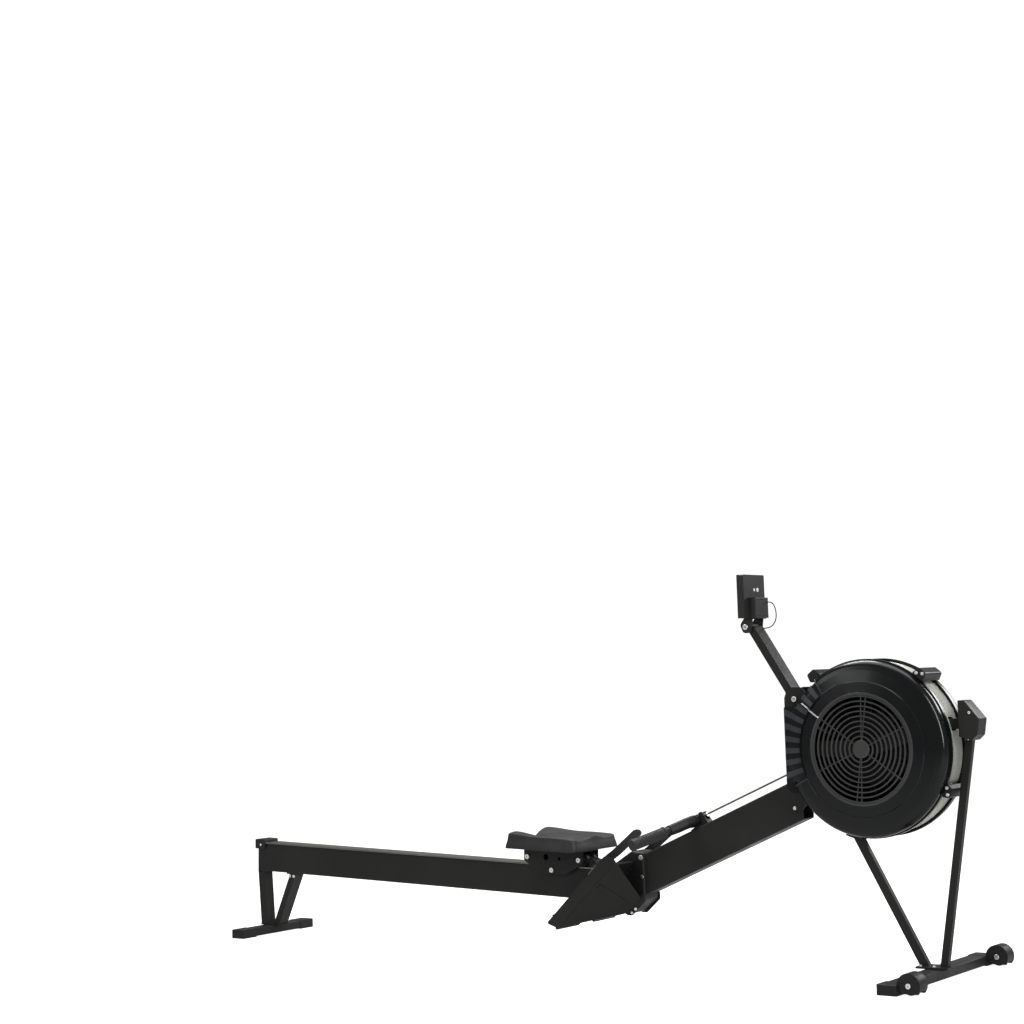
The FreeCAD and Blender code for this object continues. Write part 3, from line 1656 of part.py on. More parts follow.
def build_fan():
    fan_forks()
    shell_right()
    shell_left()
    grilles()
    mesh_band()
    shell_clamps()
    damper_lever()
    fan_axle()
    flywheel()
    fan_bearings()
    sprocket()
    guide_roller()
    drive_pins()
    chain_front()
    chain_return()
    return_block()
    shock_cord()


def build_seat():
    carriage()
    seat_pad()
    roller_bolts()
    upper_rollers("rear_rollers", -ROLLER_SPREAD)
    upper_rollers("front_rollers", ROLLER_SPREAD)
    lower_rollers()


def build_footrest():
    foot_plates()
    footboards()
    heel_cup("heel_cup_left", 1)
    heel_cup("heel_cup_right", -1)
    foot_straps()
    strap_buckles()
    footrest_bracket()


def build_handle():
    bar = handle_bar()
    handle_grips()
    handle_yoke(bar)
    chain_swivel()
    handle_hook()


def build_monitor():
    monitor_arm()
    arm_pins()
    monitor_back()
    monitor_front()
    monitor_lens()
    for count, y in enumerate(BUTTON_YS):
        monitor_button(count, y)
    monitor_cable()


def check_and_write():
    doc.recompute()
    failed = [o.Label for o in doc.Objects if "Invalid" in o.State or "Error" in o.State]
    if failed:
        raise SystemExit(f"failed features: {failed}")
    for piece in NODES:
        shape = piece.Shape
        if shape.isNull() or not shape.isValid() or not shape.Solids:
            raise SystemExit(f"bad shape: {piece.Label}")
    os.makedirs("parts", exist_ok=True)
    for piece in NODES:
        piece.Shape.exportStep(f"parts/{piece.Label}.step")
    box = Part.makeCompound([piece.Shape for piece in NODES]).BoundBox
    print(len(NODES), "parts written, size", box.XLength, box.YLength, box.ZLength)
    print("from", box.XMin, box.YMin, box.ZMin, "to", box.XMax, box.YMax, box.ZMax)


build_frame()
build_fan()
build_seat()
build_footrest()
build_handle()
build_monitor()
check_and_write()
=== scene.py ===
import json
import math

import bmesh
import bpy
from mathutils import Matrix, Vector


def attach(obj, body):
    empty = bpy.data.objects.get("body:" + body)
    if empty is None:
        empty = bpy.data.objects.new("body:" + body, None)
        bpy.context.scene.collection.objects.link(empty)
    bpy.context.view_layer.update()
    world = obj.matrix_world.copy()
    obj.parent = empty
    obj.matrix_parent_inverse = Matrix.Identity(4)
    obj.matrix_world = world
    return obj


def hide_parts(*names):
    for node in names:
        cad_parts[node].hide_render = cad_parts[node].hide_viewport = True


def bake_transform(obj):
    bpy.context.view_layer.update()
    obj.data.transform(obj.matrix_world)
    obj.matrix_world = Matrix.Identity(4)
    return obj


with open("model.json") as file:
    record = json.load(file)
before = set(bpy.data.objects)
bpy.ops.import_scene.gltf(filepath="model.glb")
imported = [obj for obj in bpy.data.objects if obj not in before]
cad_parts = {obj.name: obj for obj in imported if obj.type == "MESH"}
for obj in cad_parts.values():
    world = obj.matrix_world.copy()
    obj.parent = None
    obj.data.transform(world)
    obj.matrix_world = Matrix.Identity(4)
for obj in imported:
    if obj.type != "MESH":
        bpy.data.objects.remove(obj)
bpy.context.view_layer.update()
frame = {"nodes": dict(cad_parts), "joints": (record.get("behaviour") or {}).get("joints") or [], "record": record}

NODES = frame["nodes"]
MM = 0.001
UP = Vector((0, 0, 1))
ACROSS = Vector((0, 1, 0))


# ---------------------------------------------------------------- places taken from the frame


def joint_place(name):
    """Where a joint's axis stands at rest, in the row frame."""
    joint = next(j for j in frame["joints"] if j["name"] == name)
    return Vector(joint["pos_m"])


def joint_axis(name):
    joint = next(j for j in frame["joints"] if j["name"] == name)
    return Vector(joint["axis"])


def pitched(origin, forward):
    """A frame at a point whose X runs along forward, in the machine's middle plane."""
    x = forward.normalized()
    z = x.cross(ACROSS)
    turn = Matrix((x, ACROSS, z)).transposed().to_4x4()
    return Matrix.Translation(origin) @ turn


def angled(origin, degrees):
    """A pitched frame whose X rises towards +X by an angle."""
    turn = math.radians(degrees)
    return pitched(origin, Vector((math.cos(turn), 0, math.sin(turn))))


HUB = joint_place("fan_spin")
WHEEL = joint_place("wheel_left_spin")
ARM_PIVOT = joint_place("arm_swing")
TILT_PIVOT = joint_place("monitor_tilt")
REAR_AXLE = joint_place("rear_rollers_spin")
FRONT_AXLE = joint_place("front_rollers_spin")
LOWER_AXLE = joint_place("lower_rollers_spin")
RAIL_WAY = joint_axis("seat_slide")
BOARD_WAY = joint_axis("left_heel_slide")
ROLLER_LIFT = 20 * MM
CARRIAGE = pitched((REAR_AXLE + FRONT_AXLE) / 2, RAIL_WAY) @ Matrix.Translation((0, 0, -ROLLER_LIFT))
BOARD = pitched(Vector((-0.018, 0, 0.106)), BOARD_WAY)
HANDLE = angled(Vector((0.410, 0, 0.394)), 34)


# ---------------------------------------------------------------- mesh helpers


def add_object(name, mesh, material, smooth_angle=35):
    piece = bpy.data.objects.new(name, mesh)
    bpy.context.scene.collection.objects.link(piece)
    mesh.materials.append(material)
    soften(mesh, smooth_angle)
    return piece


def soften(mesh, angle):
    mesh.shade_smooth()
    mesh.set_sharp_from_angle(angle=math.radians(angle))


def mesh_of(name, points, faces):
    mesh = bpy.data.meshes.new(name)
    mesh.from_pydata([tuple(p) for p in points], [], faces)
    shape = bmesh.new()
    shape.from_mesh(mesh)
    bmesh.ops.recalc_face_normals(shape, faces=shape.faces)
    shape.to_mesh(mesh)
    shape.free()
    return mesh


def loft(rings, closed=False, capped=True):
    """Points and faces of a skin over rings of equal length."""
    points = [p for ring in rings for p in ring]
    width = len(rings[0])
    faces = []
    spans = len(rings) if closed else len(rings) - 1
    for i in range(spans):
        here, there = i * width, ((i + 1) % len(rings)) * width
        for j in range(width):
            k = (j + 1) % width
            faces.append((here + j, here + k, there + k, there + j))
    if capped and not closed:
        faces.append(tuple(range(width - 1, -1, -1)))
        faces.append(tuple(range((len(rings) - 1) * width, len(rings) * width)))
    return points, faces


def join_shapes(parts):
    """One list of points and faces from several."""
    points, faces = [], []
    for part_points, part_faces in parts:
        shift = len(points)
        points += part_points
        faces += [tuple(i + shift for i in face) for face in part_faces]
    return points, faces


def spoke_at(degrees):
    """The direction at an angle about the Y axis, from +X towards +Z."""
    turn = math.radians(degrees)
    return Vector((math.cos(turn), 0, math.sin(turn)))


def spun(profile, steps, centre=HUB):
    """A closed outline of (radius, y) millimetres spun about the Y axis through a centre."""
    rings = []
    for i in range(steps):
        spoke = spoke_at(360 * i / steps)
        rings.append([centre + spoke * r * MM + ACROSS * y * MM for r, y in profile])
    return loft(rings, closed=True)


def circle_ring(centre, side, up, radius, count):
    ring = []
    for i in range(count):
        turn = 2 * math.pi * i / count
        ring.append(centre + side * (radius * math.cos(turn)) + up * (radius * math.sin(turn)))
    return ring


def tube(path, radius, count=12):
    """A round tube along a list of points."""
    rings = []
    side = None
    for i, point in enumerate(path):
        ahead = path[min(i + 1, len(path) - 1)] - path[max(i - 1, 0)]
        ahead.normalize()
        if side is None:
            side = ahead.orthogonal().normalized()
        side = (side - ahead * side.dot(ahead)).normalized()
        rings.append(circle_ring(point, side, ahead.cross(side), radius, count))
    return loft(rings)


def ribbon(path, wide, width, thickness, round_end=False):
    """A flat band along a list of points, with rounded edges; wide is its width's direction."""
    thin = thickness / 2
    rings = []
    for i, point in enumerate(path):
        half = width / 2
        left = (path[-1] - point).length
        if round_end and left < half:
            half = max(thin * 1.01, math.sqrt(half**2 - (half - left) ** 2))
        section = []
        for corner, start in ((half - thin, -90), (-half + thin, 90)):
            for step in range(7):
                turn = math.radians(start + 30 * step)
                section.append((corner + thin * math.cos(turn), thin * math.sin(turn)))
        ahead = (path[min(i + 1, len(path) - 1)] - path[max(i - 1, 0)]).normalized()
        up = ahead.cross(wide).normalized()
        rings.append([point + wide * u + up * v for u, v in section])
    return loft(rings)


def rounded_path(corners, radius, steps=8):
    """A polyline whose corners are rounded to a radius, or as much as fits."""
    path = [corners[0]]
    for before, here, after in zip(corners, corners[1:], corners[2:]):
        back, ahead = before - here, after - here
        half = back.angle(ahead) / 2
        reach = min(radius / math.tan(half), 0.48 * min(back.length, ahead.length))
        start = here + back.normalized() * reach
        end = here + ahead.normalized() * reach
        for i in range(steps + 1):
            t = i / steps
            path.append(start * (1 - t) ** 2 + here * 2 * t * (1 - t) + end * t * t)
    path.append(corners[-1])
    return path


def beveled_block(low, high, bevel, place, segments=3):
    """A box between two corners in millimetres with rounded edges, in a frame."""
    shape = bmesh.new()
    bmesh.ops.create_cube(shape, size=1)
    size = Vector(high) - Vector(low)
    middle = (Vector(high) + Vector(low)) / 2
    for vertex in shape.verts:
        vertex.co = Vector(a * b for a, b in zip(vertex.co, size)) + middle
    bmesh.ops.bevel(
        shape, geom=shape.edges[:], offset=bevel, segments=segments, profile=0.5, affect="EDGES"
    )
    for vertex in shape.verts:
        vertex.co = place @ (vertex.co * MM)
    shape.verts.index_update()
    points = [v.co.copy() for v in shape.verts]
    faces = [tuple(v.index for v in face.verts) for face in shape.faces]
    shape.free()
    return points, faces


# ---------------------------------------------------------------- materials


class Recipe:
    """A material's node tree with the few steps that every finish here shares."""

    def __init__(self, name, rough, metallic=0.0, gloss=0.25):
        self.material = bpy.data.materials.new(name)
        self.material.use_nodes = True
        self.tree = self.material.node_tree
        self.shader = self.tree.nodes["Principled BSDF"]
        self.shader.inputs["Roughness"].default_value = rough
        self.shader.inputs["Metallic"].default_value = metallic
        self.shader.inputs["Specular IOR Level"].default_value = gloss
        self.coords = self.tree.nodes.new("ShaderNodeTexCoord").outputs["Object"]

    def link(self, output, target):
        self.tree.links.new(output, target)

    def noise(self, scale, detail=4.0, stretch=(1, 1, 1)):
        mapping = self.tree.nodes.new("ShaderNodeMapping")
        mapping.inputs["Scale"].default_value = stretch
        self.link(self.coords, mapping.inputs["Vector"])
        texture = self.tree.nodes.new("ShaderNodeTexNoise")
        texture.inputs["Scale"].default_value = scale
        texture.inputs["Detail"].default_value = detail
        self.link(mapping.outputs["Vector"], texture.inputs["Vector"])
        return texture.outputs["Fac"]

    def cells(self, scale):
        texture = self.tree.nodes.new("ShaderNodeTexVoronoi")
        texture.inputs["Scale"].default_value = scale
        self.link(self.coords, texture.inputs["Vector"])
        return texture.outputs["Distance"]

    def waves(self, scale, direction):
        texture = self.tree.nodes.new("ShaderNodeTexWave")
        texture.bands_direction = direction
        texture.inputs["Scale"].default_value = scale
        self.link(self.coords, texture.inputs["Vector"])
        return texture.outputs["Fac"]

    def colours(self, factor, stops):
        ramp = self.tree.nodes.new("ShaderNodeValToRGB")
        elements = ramp.color_ramp.elements
        while len(elements) < len(stops):
            elements.new(0.5)
        for element, (position, colour) in zip(elements, stops):
            element.position = position
            element.color = (*colour, 1)
        self.link(factor, ramp.inputs["Fac"])
        self.link(ramp.outputs["Color"], self.shader.inputs["Base Color"])

    def roughness(self, factor, low, high):
        span = self.tree.nodes.new("ShaderNodeMapRange")
        span.inputs["From Min"].default_value = 0.3
        span.inputs["From Max"].default_value = 0.7
        span.inputs["To Min"].default_value = low
        span.inputs["To Max"].default_value = high
        self.link(factor, span.inputs["Value"])
        self.link(span.outputs["Result"], self.shader.inputs["Roughness"])

    def bump(self, height, distance, strength=1.0, under=None):
        node = self.tree.nodes.new("ShaderNodeBump")
        node.inputs["Distance"].default_value = distance
        node.inputs["Strength"].default_value = strength
        self.link(height, node.inputs["Height"])
        if under is not None:
            self.link(under, node.inputs["Normal"])
        self.link(node.outputs["Normal"], self.shader.inputs["Normal"])
        return node.outputs["Normal"]


def shade(colour, factor):
    return tuple(min(1.0, c * factor) for c in colour)


def moulded(name, colour, rough, grain=900, depth=0.00006):
    """A moulded plastic or rubber with a fine grain and slight unevenness."""
    spread = 0.08
    recipe = Recipe(name, rough)
    patches = recipe.noise(9, 5)
    recipe.colours(patches, [(0.3, shade(colour, 0.82)), (0.7, shade(colour, 1.22))])
    recipe.roughness(recipe.noise(40, 3), rough - spread, rough + spread)
    recipe.bump(recipe.noise(grain, 2), depth, 0.5)
    return recipe.material


def powder_coat(name, colour, rough=0.42):
    """Satin powder coat: fine orange peel and slightly cloudy gloss."""
    recipe = Recipe(name, rough, gloss=0.17)
    recipe.colours(recipe.noise(5, 6), [(0.3, shade(colour, 0.85)), (0.7, shade(colour, 1.18))])
    recipe.roughness(recipe.noise(26, 4), rough - 0.06, rough + 0.07)
    recipe.bump(recipe.noise(620, 2), 0.00012, 0.35)
    return recipe.material


def bare_metal(name, colour, rough, stretch=(1, 1, 1), scale=300):
    """Bare steel or zinc with brushing or a fine haze."""
    recipe = Recipe(name, rough, 1.0)
    streaks = recipe.noise(scale, 3, stretch)
    recipe.colours(streaks, [(0.3, shade(colour, 0.86)), (0.7, shade(colour, 1.1))])
    recipe.roughness(streaks, rough - 0.06, rough + 0.1)
    recipe.bump(streaks, 0.00005, 0.3)
    return recipe.material


def shell_gloss(name, colour, rough):
    """Glossy moulded plastic with a faint ripple."""
    recipe = Recipe(name, rough, gloss=0.18)
    recipe.colours(recipe.noise(4, 4), [(0.3, shade(colour, 0.8)), (0.7, shade(colour, 1.3))])
    recipe.roughness(recipe.noise(18, 5), rough - 0.05, rough + 0.06)
    recipe.bump(recipe.noise(34, 2), 0.0004, 0.12)
    recipe.shader.inputs["Coat Weight"].default_value = 0.14
    recipe.shader.inputs["Coat Roughness"].default_value = 0.09
    return recipe.material


def woven(name, colour):
    """Nylon webbing: fine ribs across and a soft sheen."""
    recipe = Recipe(name, 0.8)
    ribs = recipe.waves(480, "Y")
    recipe.colours(ribs, [(0.2, shade(colour, 0.6)), (0.8, shade(colour, 1.5))])
    recipe.bump(ribs, 0.0003, 0.7)
    recipe.shader.inputs["Sheen Weight"].default_value = 0.25
    return recipe.material


def foam_skin(name, colour):
    """The seat's skinned foam: pebbled grain and broad scuffs."""
    recipe = Recipe(name, 0.5)
    recipe.colours(recipe.noise(14, 6), [(0.35, shade(colour, 0.85)), (0.65, shade(colour, 1.25))])
    recipe.roughness(recipe.noise(22, 5), 0.42, 0.6)
    pebbles = recipe.bump(recipe.cells(420), 0.00022, 0.55)
    recipe.bump(recipe.noise(60, 4), 0.0005, 0.12, pebbles)
    return recipe.material


def display_face(name):
    """A grey-green liquid-crystal panel behind its window."""
    recipe = Recipe(name, 0.16)
    recipe.colours(recipe.noise(30, 3), [(0.3, (0.17, 0.21, 0.16)), (0.7, (0.24, 0.28, 0.22))])
    recipe.bump(recipe.noise(300, 2), 0.00002, 0.1)
    return recipe.material


def white_to_the_camera(tree, strength, dim, bright):
    """Sets a strength that is bright in the picture and dim where it lights the object."""
    rays = tree.nodes.new("ShaderNodeLightPath")
    level = tree.nodes.new("ShaderNodeMapRange")
    level.inputs["To Min"].default_value = dim
    level.inputs["To Max"].default_value = bright
    tree.links.new(rays.outputs["Is Camera Ray"], level.inputs["Value"])
    tree.links.new(level.outputs["Result"], strength)


def pale_floor():
    recipe = Recipe("floor_paint", 0.8)
    recipe.colours(recipe.noise(1.5, 3), [(0.3, (0.42, 0.42, 0.42)), (0.7, (0.45, 0.45, 0.45))])
    recipe.shader.inputs["Emission Color"].default_value = (1, 1, 1, 1)
    white_to_the_camera(recipe.tree, recipe.shader.inputs["Emission Strength"], 0.12, 0.93)
    return recipe.material


PAINT = (0.0185, 0.0185, 0.0178)
MATERIALS = {
    "black_paint": powder_coat("black_paint", PAINT),
    "track_steel": bare_metal("track_steel", (0.2, 0.2, 0.19), 0.34, (0.02, 1, 1), 500),
    "rubber_black": moulded("rubber_black", (0.016, 0.016, 0.0155), 0.62),
    "cap_plastic": moulded("cap_plastic", (0.012, 0.012, 0.012), 0.45),
    "wheel_rubber": moulded("wheel_rubber", (0.010, 0.010, 0.010), 0.5),
    "moulded_plastic": moulded("moulded_plastic", (0.011, 0.011, 0.011), 0.38),
    "bright_bolt": bare_metal("bright_bolt", (0.88, 0.88, 0.86), 0.3, scale=700),
    "shell_plastic": shell_gloss("shell_plastic", (0.0048, 0.0052, 0.0057), 0.2),
    "grille_plastic": shell_gloss("grille_plastic", (0.045, 0.045, 0.044), 0.3),
    "mesh_steel": bare_metal("mesh_steel", (0.66, 0.66, 0.61), 0.42),
    "lever_steel": bare_metal("lever_steel", (0.93, 0.93, 0.9), 0.2),
    "fan_aluminium": bare_metal("fan_aluminium", (0.022, 0.022, 0.023), 0.5),
    "bearing_steel": bare_metal("bearing_steel", (0.5, 0.5, 0.5), 0.3),
    "roller_plastic": moulded("roller_plastic", (0.015, 0.015, 0.015), 0.42),
    "chain_steel": bare_metal("chain_steel", (0.16, 0.155, 0.14), 0.45),
    "elastic_cord": woven("elastic_cord", (0.02, 0.02, 0.02)),
    "seat_foam": foam_skin("seat_foam", (0.025, 0.025, 0.0245)),
    "webbing": woven("webbing", (0.014, 0.014, 0.014)),
    "handle_steel": powder_coat("handle_steel", PAINT, 0.38),
    "grip_rubber": moulded("grip_rubber", (0.022, 0.022, 0.0225), 0.55, 1200, 0.0001),
    "monitor_plastic": moulded("monitor_plastic", (0.017, 0.017, 0.0165), 0.46),
    "display_glass": display_face("display_glass"),
    "button_rubber": moulded("button_rubber", (0.3, 0.3, 0.3), 0.6),
    "cable_rubber": moulded("cable_rubber", (0.012, 0.012, 0.012), 0.5),
    # This grey is the damper scale's own graduations; on the recess lips and the grille bead it is a painted
    # highlight.
    "scale_grey_and_painted_highlight": moulded("scale_grey_and_painted_highlight", (0.034, 0.037, 0.043), 0.36),
    # Near-black: the battery cover's seams and the display's segments, and painted shade inside the bolt sockets.
    "near_black_and_painted_shade": moulded("near_black_and_painted_shade", (0.004, 0.004, 0.004), 0.7),
    "pale_socket": moulded("pale_socket", (0.75, 0.75, 0.73), 0.4),
}


def dress_cad_nodes():
    """Gives every carried-over CAD node its finish and soft shading."""
    slots = {s["node"]: s["material_slot"] for s in frame["record"]["subparts"]}
    for name, node in NODES.items():
        node.data.materials.clear()
        node.data.materials.append(MATERIALS[slots[name]])
        soften(node.data, 28)


# ---------------------------------------------------------------- camera, light and floor


CAMERA_PLACE = (3.40295, -4.87884, 0.82946)
CAMERA_TURN = (36.48, -4.59, -1.87)


def add_camera():
    """The camera stands low on the right, ahead of the machine, and looks back along it."""
    yaw, pitch, roll = (math.radians(angle) for angle in CAMERA_TURN)
    level_way = math.cos(pitch)
    look = Vector((-math.sin(yaw) * level_way, math.cos(yaw) * level_way, -math.sin(pitch)))
    level = Vector((math.cos(yaw), math.sin(yaw), 0))
    above = level.cross(look)
    right = level * math.cos(roll) + above * math.sin(roll)
    up = above * math.cos(roll) - level * math.sin(roll)
    camera = bpy.data.objects.new("camera", bpy.data.cameras.new("camera"))
    bpy.context.scene.collection.objects.link(camera)
    turn = Matrix((right, up, -look)).transposed().to_4x4()
    camera.matrix_world = Matrix.Translation(CAMERA_PLACE) @ turn
    camera.data.sensor_width = 36
    camera.data.lens = 70.22
    camera.data.clip_end = 100
    bpy.context.scene.camera = camera


def add_softbox(name, place, target, width, height, power):
    light = bpy.data.lights.new(name, "AREA")
    light.shape = "RECTANGLE"
    light.size = width
    light.size_y = height
    light.energy = power
    lamp = bpy.data.objects.new(name, light)
    bpy.context.scene.collection.objects.link(lamp)
    aim = (Vector(target) - Vector(place)).to_track_quat("-Z", "Y")
    lamp.matrix_world = Matrix.Translation(place) @ aim.to_matrix().to_4x4()


def add_light_and_floor():
    """Large soft lights over a white floor; the room is white to the camera and dim to the object."""
    middle, fan = (0.2, 0, 0.4), (0.95, 0, 0.6)
    add_softbox("overhead", (0.0, 0.4, 4.2), middle, 5.0, 3.0, 150)
    add_softbox("front_fill", (-2.4, -4.6, 2.6), middle, 2.4, 1.6, 38)
    add_softbox("right_strip", (4.2, -1.6, 2.2), fan, 0.5, 3.2, 120)
    add_softbox("top_strip", (-0.8, 0.9, 4.1), fan, 3.0, 0.4, 110)
    add_softbox("back_strip", (2.6, 4.2, 2.4), fan, 2.8, 0.8, 60)
    scene = bpy.context.scene
    scene.view_settings.view_transform = "Standard"
    world = bpy.data.worlds.new("studio")
    scene.world = world
    world.use_nodes = True
    background = world.node_tree.nodes["Background"]
    background.inputs["Color"].default_value = (1, 1, 1, 1)
    white_to_the_camera(world.node_tree, background.inputs["Strength"], 0.27, 1.05)
    half = 30
    corners = [(-half, -half, 0), (half, -half, 0), (half, half, 0), (-half, half, 0)]
    floor = add_object("floor", mesh_of("floor", corners, [(0, 1, 2, 3)]), pale_floor())


# ---------------------------------------------------------------- seat


def seat_height(x, y):
    """Height of the seat's top over the track, in millimetres: two lobes, a notch and thigh dips."""
    def hill(distance, spread):
        return math.exp(-((distance / spread) ** 2))

    height = 84.5
    height += 12.5 * hill(x + 108, 58) * hill(abs(y) - 80, 46)
    height -= 17 * hill(x + 112, 52) * hill(y, 30)
    height -= 6.5 * hill(x + 5, 62) * hill(abs(y) - 52, 36)
    height += 4.5 * hill(abs(y) - 118, 24) * hill(x - 20, 100)
    height += 6.5 * hill(x - 110, 44) * hill(y, 26)
    height -= 4.5 * hill(x - 128, 30) * hill(abs(y) - 66, 30)
    return height


SEAT_BACK, SEAT_FRONT, SEAT_HALF = -119, 131, 121
SEAT_MIDDLE = (SEAT_BACK + SEAT_FRONT) / 2


def seat_outline():
    """A ring of the seat's outline: nearly square corners behind, rounded ones in front."""
    back, front, half = SEAT_BACK, SEAT_FRONT, SEAT_HALF
    corners = [(back, -half, 7), (front, -half, 24), (front, half, 24), (back, half, 7)]
    arcs = []
    for count, (x, y, radius) in enumerate(corners):
        inward = (math.copysign(radius, SEAT_MIDDLE - x), math.copysign(radius, -y))
        for step in range(13):
            turn = math.radians(180 + 90 * count + 7.5 * step)
            across, along = radius * math.cos(turn), radius * math.sin(turn)
            arcs.append((x + inward[0] + across, y + inward[1] + along))
    spacing = 6
    ring = []
    for (ax, ay), (bx, by) in zip(arcs, arcs[1:] + arcs[:1]):
        pieces = max(1, round(math.dist((ax, ay), (bx, by)) / spacing))
        for i in range(pieces):
            ring.append((ax + (bx - ax) * i / pieces, ay + (by - ay) * i / pieces))
    return ring


def make_seat():
    """The moulded foam seat: a dished top, a rounded edge and a skirt that flares towards its foot."""
    edge, flare = 4.0, 9.0
    outline = seat_outline()

    def drawn_in(inset):
        """The outline moved towards the middle by an inset."""
        moved = []
        for x, y in outline:
            shrink = 1 - inset / math.hypot(x - SEAT_MIDDLE, y)
            moved.append((SEAT_MIDDLE + (x - SEAT_MIDDLE) * shrink, y * shrink))
        return moved

    rings = []
    rim = drawn_in(flare + edge)
    top_rings = 16
    for step in range(1, top_rings):
        scale = step / top_rings
        flat = [(SEAT_MIDDLE + (x - SEAT_MIDDLE) * scale, y * scale) for x, y in rim]
        rings.append([(x, y, seat_height(x, y)) for x, y in flat])
    for step in range(7):
        turn = math.radians(15 * step)
        flat = drawn_in(flare + edge * (1 - math.sin(turn)))
        drop = edge * (1 - math.cos(turn))
        rings.append([(x, y, seat_height(x, y) - drop) for x, y in flat])
    skirt = ((72, 6.2), (60, 1.8), (52, 0.2), (50.2, 0.4), (49.4, 1.6), (49.4, 6), (53, 7))
    for level, inset in skirt:
        rings.append([(x, y, level) for x, y in drawn_in(inset)])
    placed = [[CARRIAGE @ (Vector(p) * MM) for p in ring] for ring in rings]
    mesh = mesh_of("seat_cushion", *loft(placed))
    piece = add_object("seat_cushion", mesh, MATERIALS["seat_foam"], 60)
    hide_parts("seat_pad")
    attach(piece, "seat")


# ---------------------------------------------------------------- chain


def link_plate(start, end, side, gap, thick, high):
    """One side plate of a chain link, with two round ends."""
    way = (end - start).normalized()
    up = way.cross(ACROSS)
    count = 10
    outline = []
    for centre, first in ((end, -90), (start, 90)):
        for i in range(count + 1):
            turn = math.radians(first + 180 * i / count)
            outline.append(centre + (way * math.cos(turn) + up * math.sin(turn)) * high / 2)
    rings = [[p + ACROSS * side * (gap + t) for p in outline] for t in (0, thick)]
    return loft(rings)


def chain_points():
    """The pins of the chain from the handle over the guide roller and round the sprocket."""
    handle_end = Vector((0.447, 0, 0.4144))
    bend = Vector((0.735, 0, 0.5374))
    top = Vector((0.9715, 0, 0.6200))
    path = rounded_path([handle_end, bend, top], 0.02)
    radius = (top - HUB).length
    first = math.atan2(top.z - HUB.z, top.x - HUB.x)
    arc_steps, arc_step = 20, math.radians(8.5)
    for i in range(1, arc_steps):
        turn = first - arc_step * i
        path.append(HUB + Vector((math.cos(turn), 0, math.sin(turn))) * radius)
    pitch = 9.525 * MM
    pins = [path[0]]
    spare = 0.0
    for a, b in zip(path, path[1:]):
        run = (b - a).length
        along = pitch - spare
        while along <= run:
            pins.append(a.lerp(b, along / run))
            along += pitch
        spare = run - (along - pitch)
    return pins


def make_chain():
    """A roller chain along its resting run."""
    pins = chain_points()
    shapes = []
    for i, (a, b) in enumerate(zip(pins, pins[1:])):
        gap = (1.35 if i % 2 else 0.75) * MM
        for side in (-1, 1):
            shapes.append(link_plate(a, b, side, gap, 0.6 * MM, 4.6 * MM))
    for pin in pins:
        ends = (pin - ACROSS * 2.4 * MM, pin + ACROSS * 2.4 * MM)
        shapes.append(tube(list(ends), 1.4 * MM, 10))
    mesh = mesh_of("roller_chain", *join_shapes(shapes))
    piece = add_object("roller_chain", mesh, MATERIALS["chain_steel"])
    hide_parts("chain_front")
    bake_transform(piece)


# ---------------------------------------------------------------- fan housing


def make_mesh_band():
    """The expanded steel mesh between the shells."""
    radius, half = 228.4, 37.8
    start, sweep = 241, 244
    columns, rows = 272, 22
    points, faces, index = [], [], {}
    window_low, window_high, window_back, window_half = 641 * MM, 677 * MM, 1.15, 15

    def corner(i, j):
        if (i, j) not in index:
            turn = math.radians(start + sweep * i / columns)
            spoke = Vector((math.cos(turn), 0, math.sin(turn)))
            y = -half + 2 * half * j / rows
            index[(i, j)] = len(points)
            points.append(HUB + spoke * radius * MM + ACROSS * y * MM)
        return index[(i, j)]

    for i in range(1, columns):
        for j in range(1, rows):
            turn = math.radians(start + sweep * i / columns)
            spot = HUB + Vector((math.cos(turn), 0, math.sin(turn))) * radius * MM
            across = abs(-half + 2 * half * j / rows)
            in_window = window_low < spot.z < window_high and spot.x > window_back and across < window_half
            if (i + j) % 2 == 0 or in_window:
                continue
            faces.append((corner(i - 1, j), corner(i, j - 1), corner(i + 1, j), corner(i, j + 1)))
    piece = add_object("mesh_screen", mesh_of("mesh_screen", points, faces), MATERIALS["mesh_steel"])
    strands = piece.modifiers.new("strands", "WIREFRAME")
    strands.thickness = 2.0 * MM
    strands.use_even_offset = True
    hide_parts("mesh_band")
    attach(piece, "frame")


def flank_depth(radius):
    """How far the right shell's flank stands out at a radius, in millimetres from the middle."""
    line = [(184, 80.6), (210, 77.7), (220, 75.2), (228, 71.6), (270, 70.7)]
    for (r0, y0), (r1, y1) in zip(line, line[1:]):
        if radius <= r1:
            return y0 + (y1 - y0) * (radius - r0) / (r1 - r0)
    return line[-1][1]


def flank_block(start, sweep):
    """A thin block of the damper's scale, from the slot out to the flank's straight edge."""
    rings = []
    for i in range(9):
        turn = math.radians(start + sweep * i / 8)
        spoke = Vector((math.cos(turn), 0, math.sin(turn)))
        outer = min(235.2 / abs(spoke.x), 226 if turn < math.radians(150) else 400)
        if spoke.z > 0:
            outer = min(outer, max(226, 113 / max(0.01, spoke.z)))
        outward, inward = [], []
        for j in range(9):
            radius = 187 + (outer - 187) * j / 8
            place = HUB + spoke * radius * MM
            outward.append(place - ACROSS * (flank_depth(radius) + 0.5) * MM)
            inward.append(place - ACROSS * (flank_depth(radius) - 1.0) * MM)
        rings.append(outward + inward[::-1])
    return loft(rings)


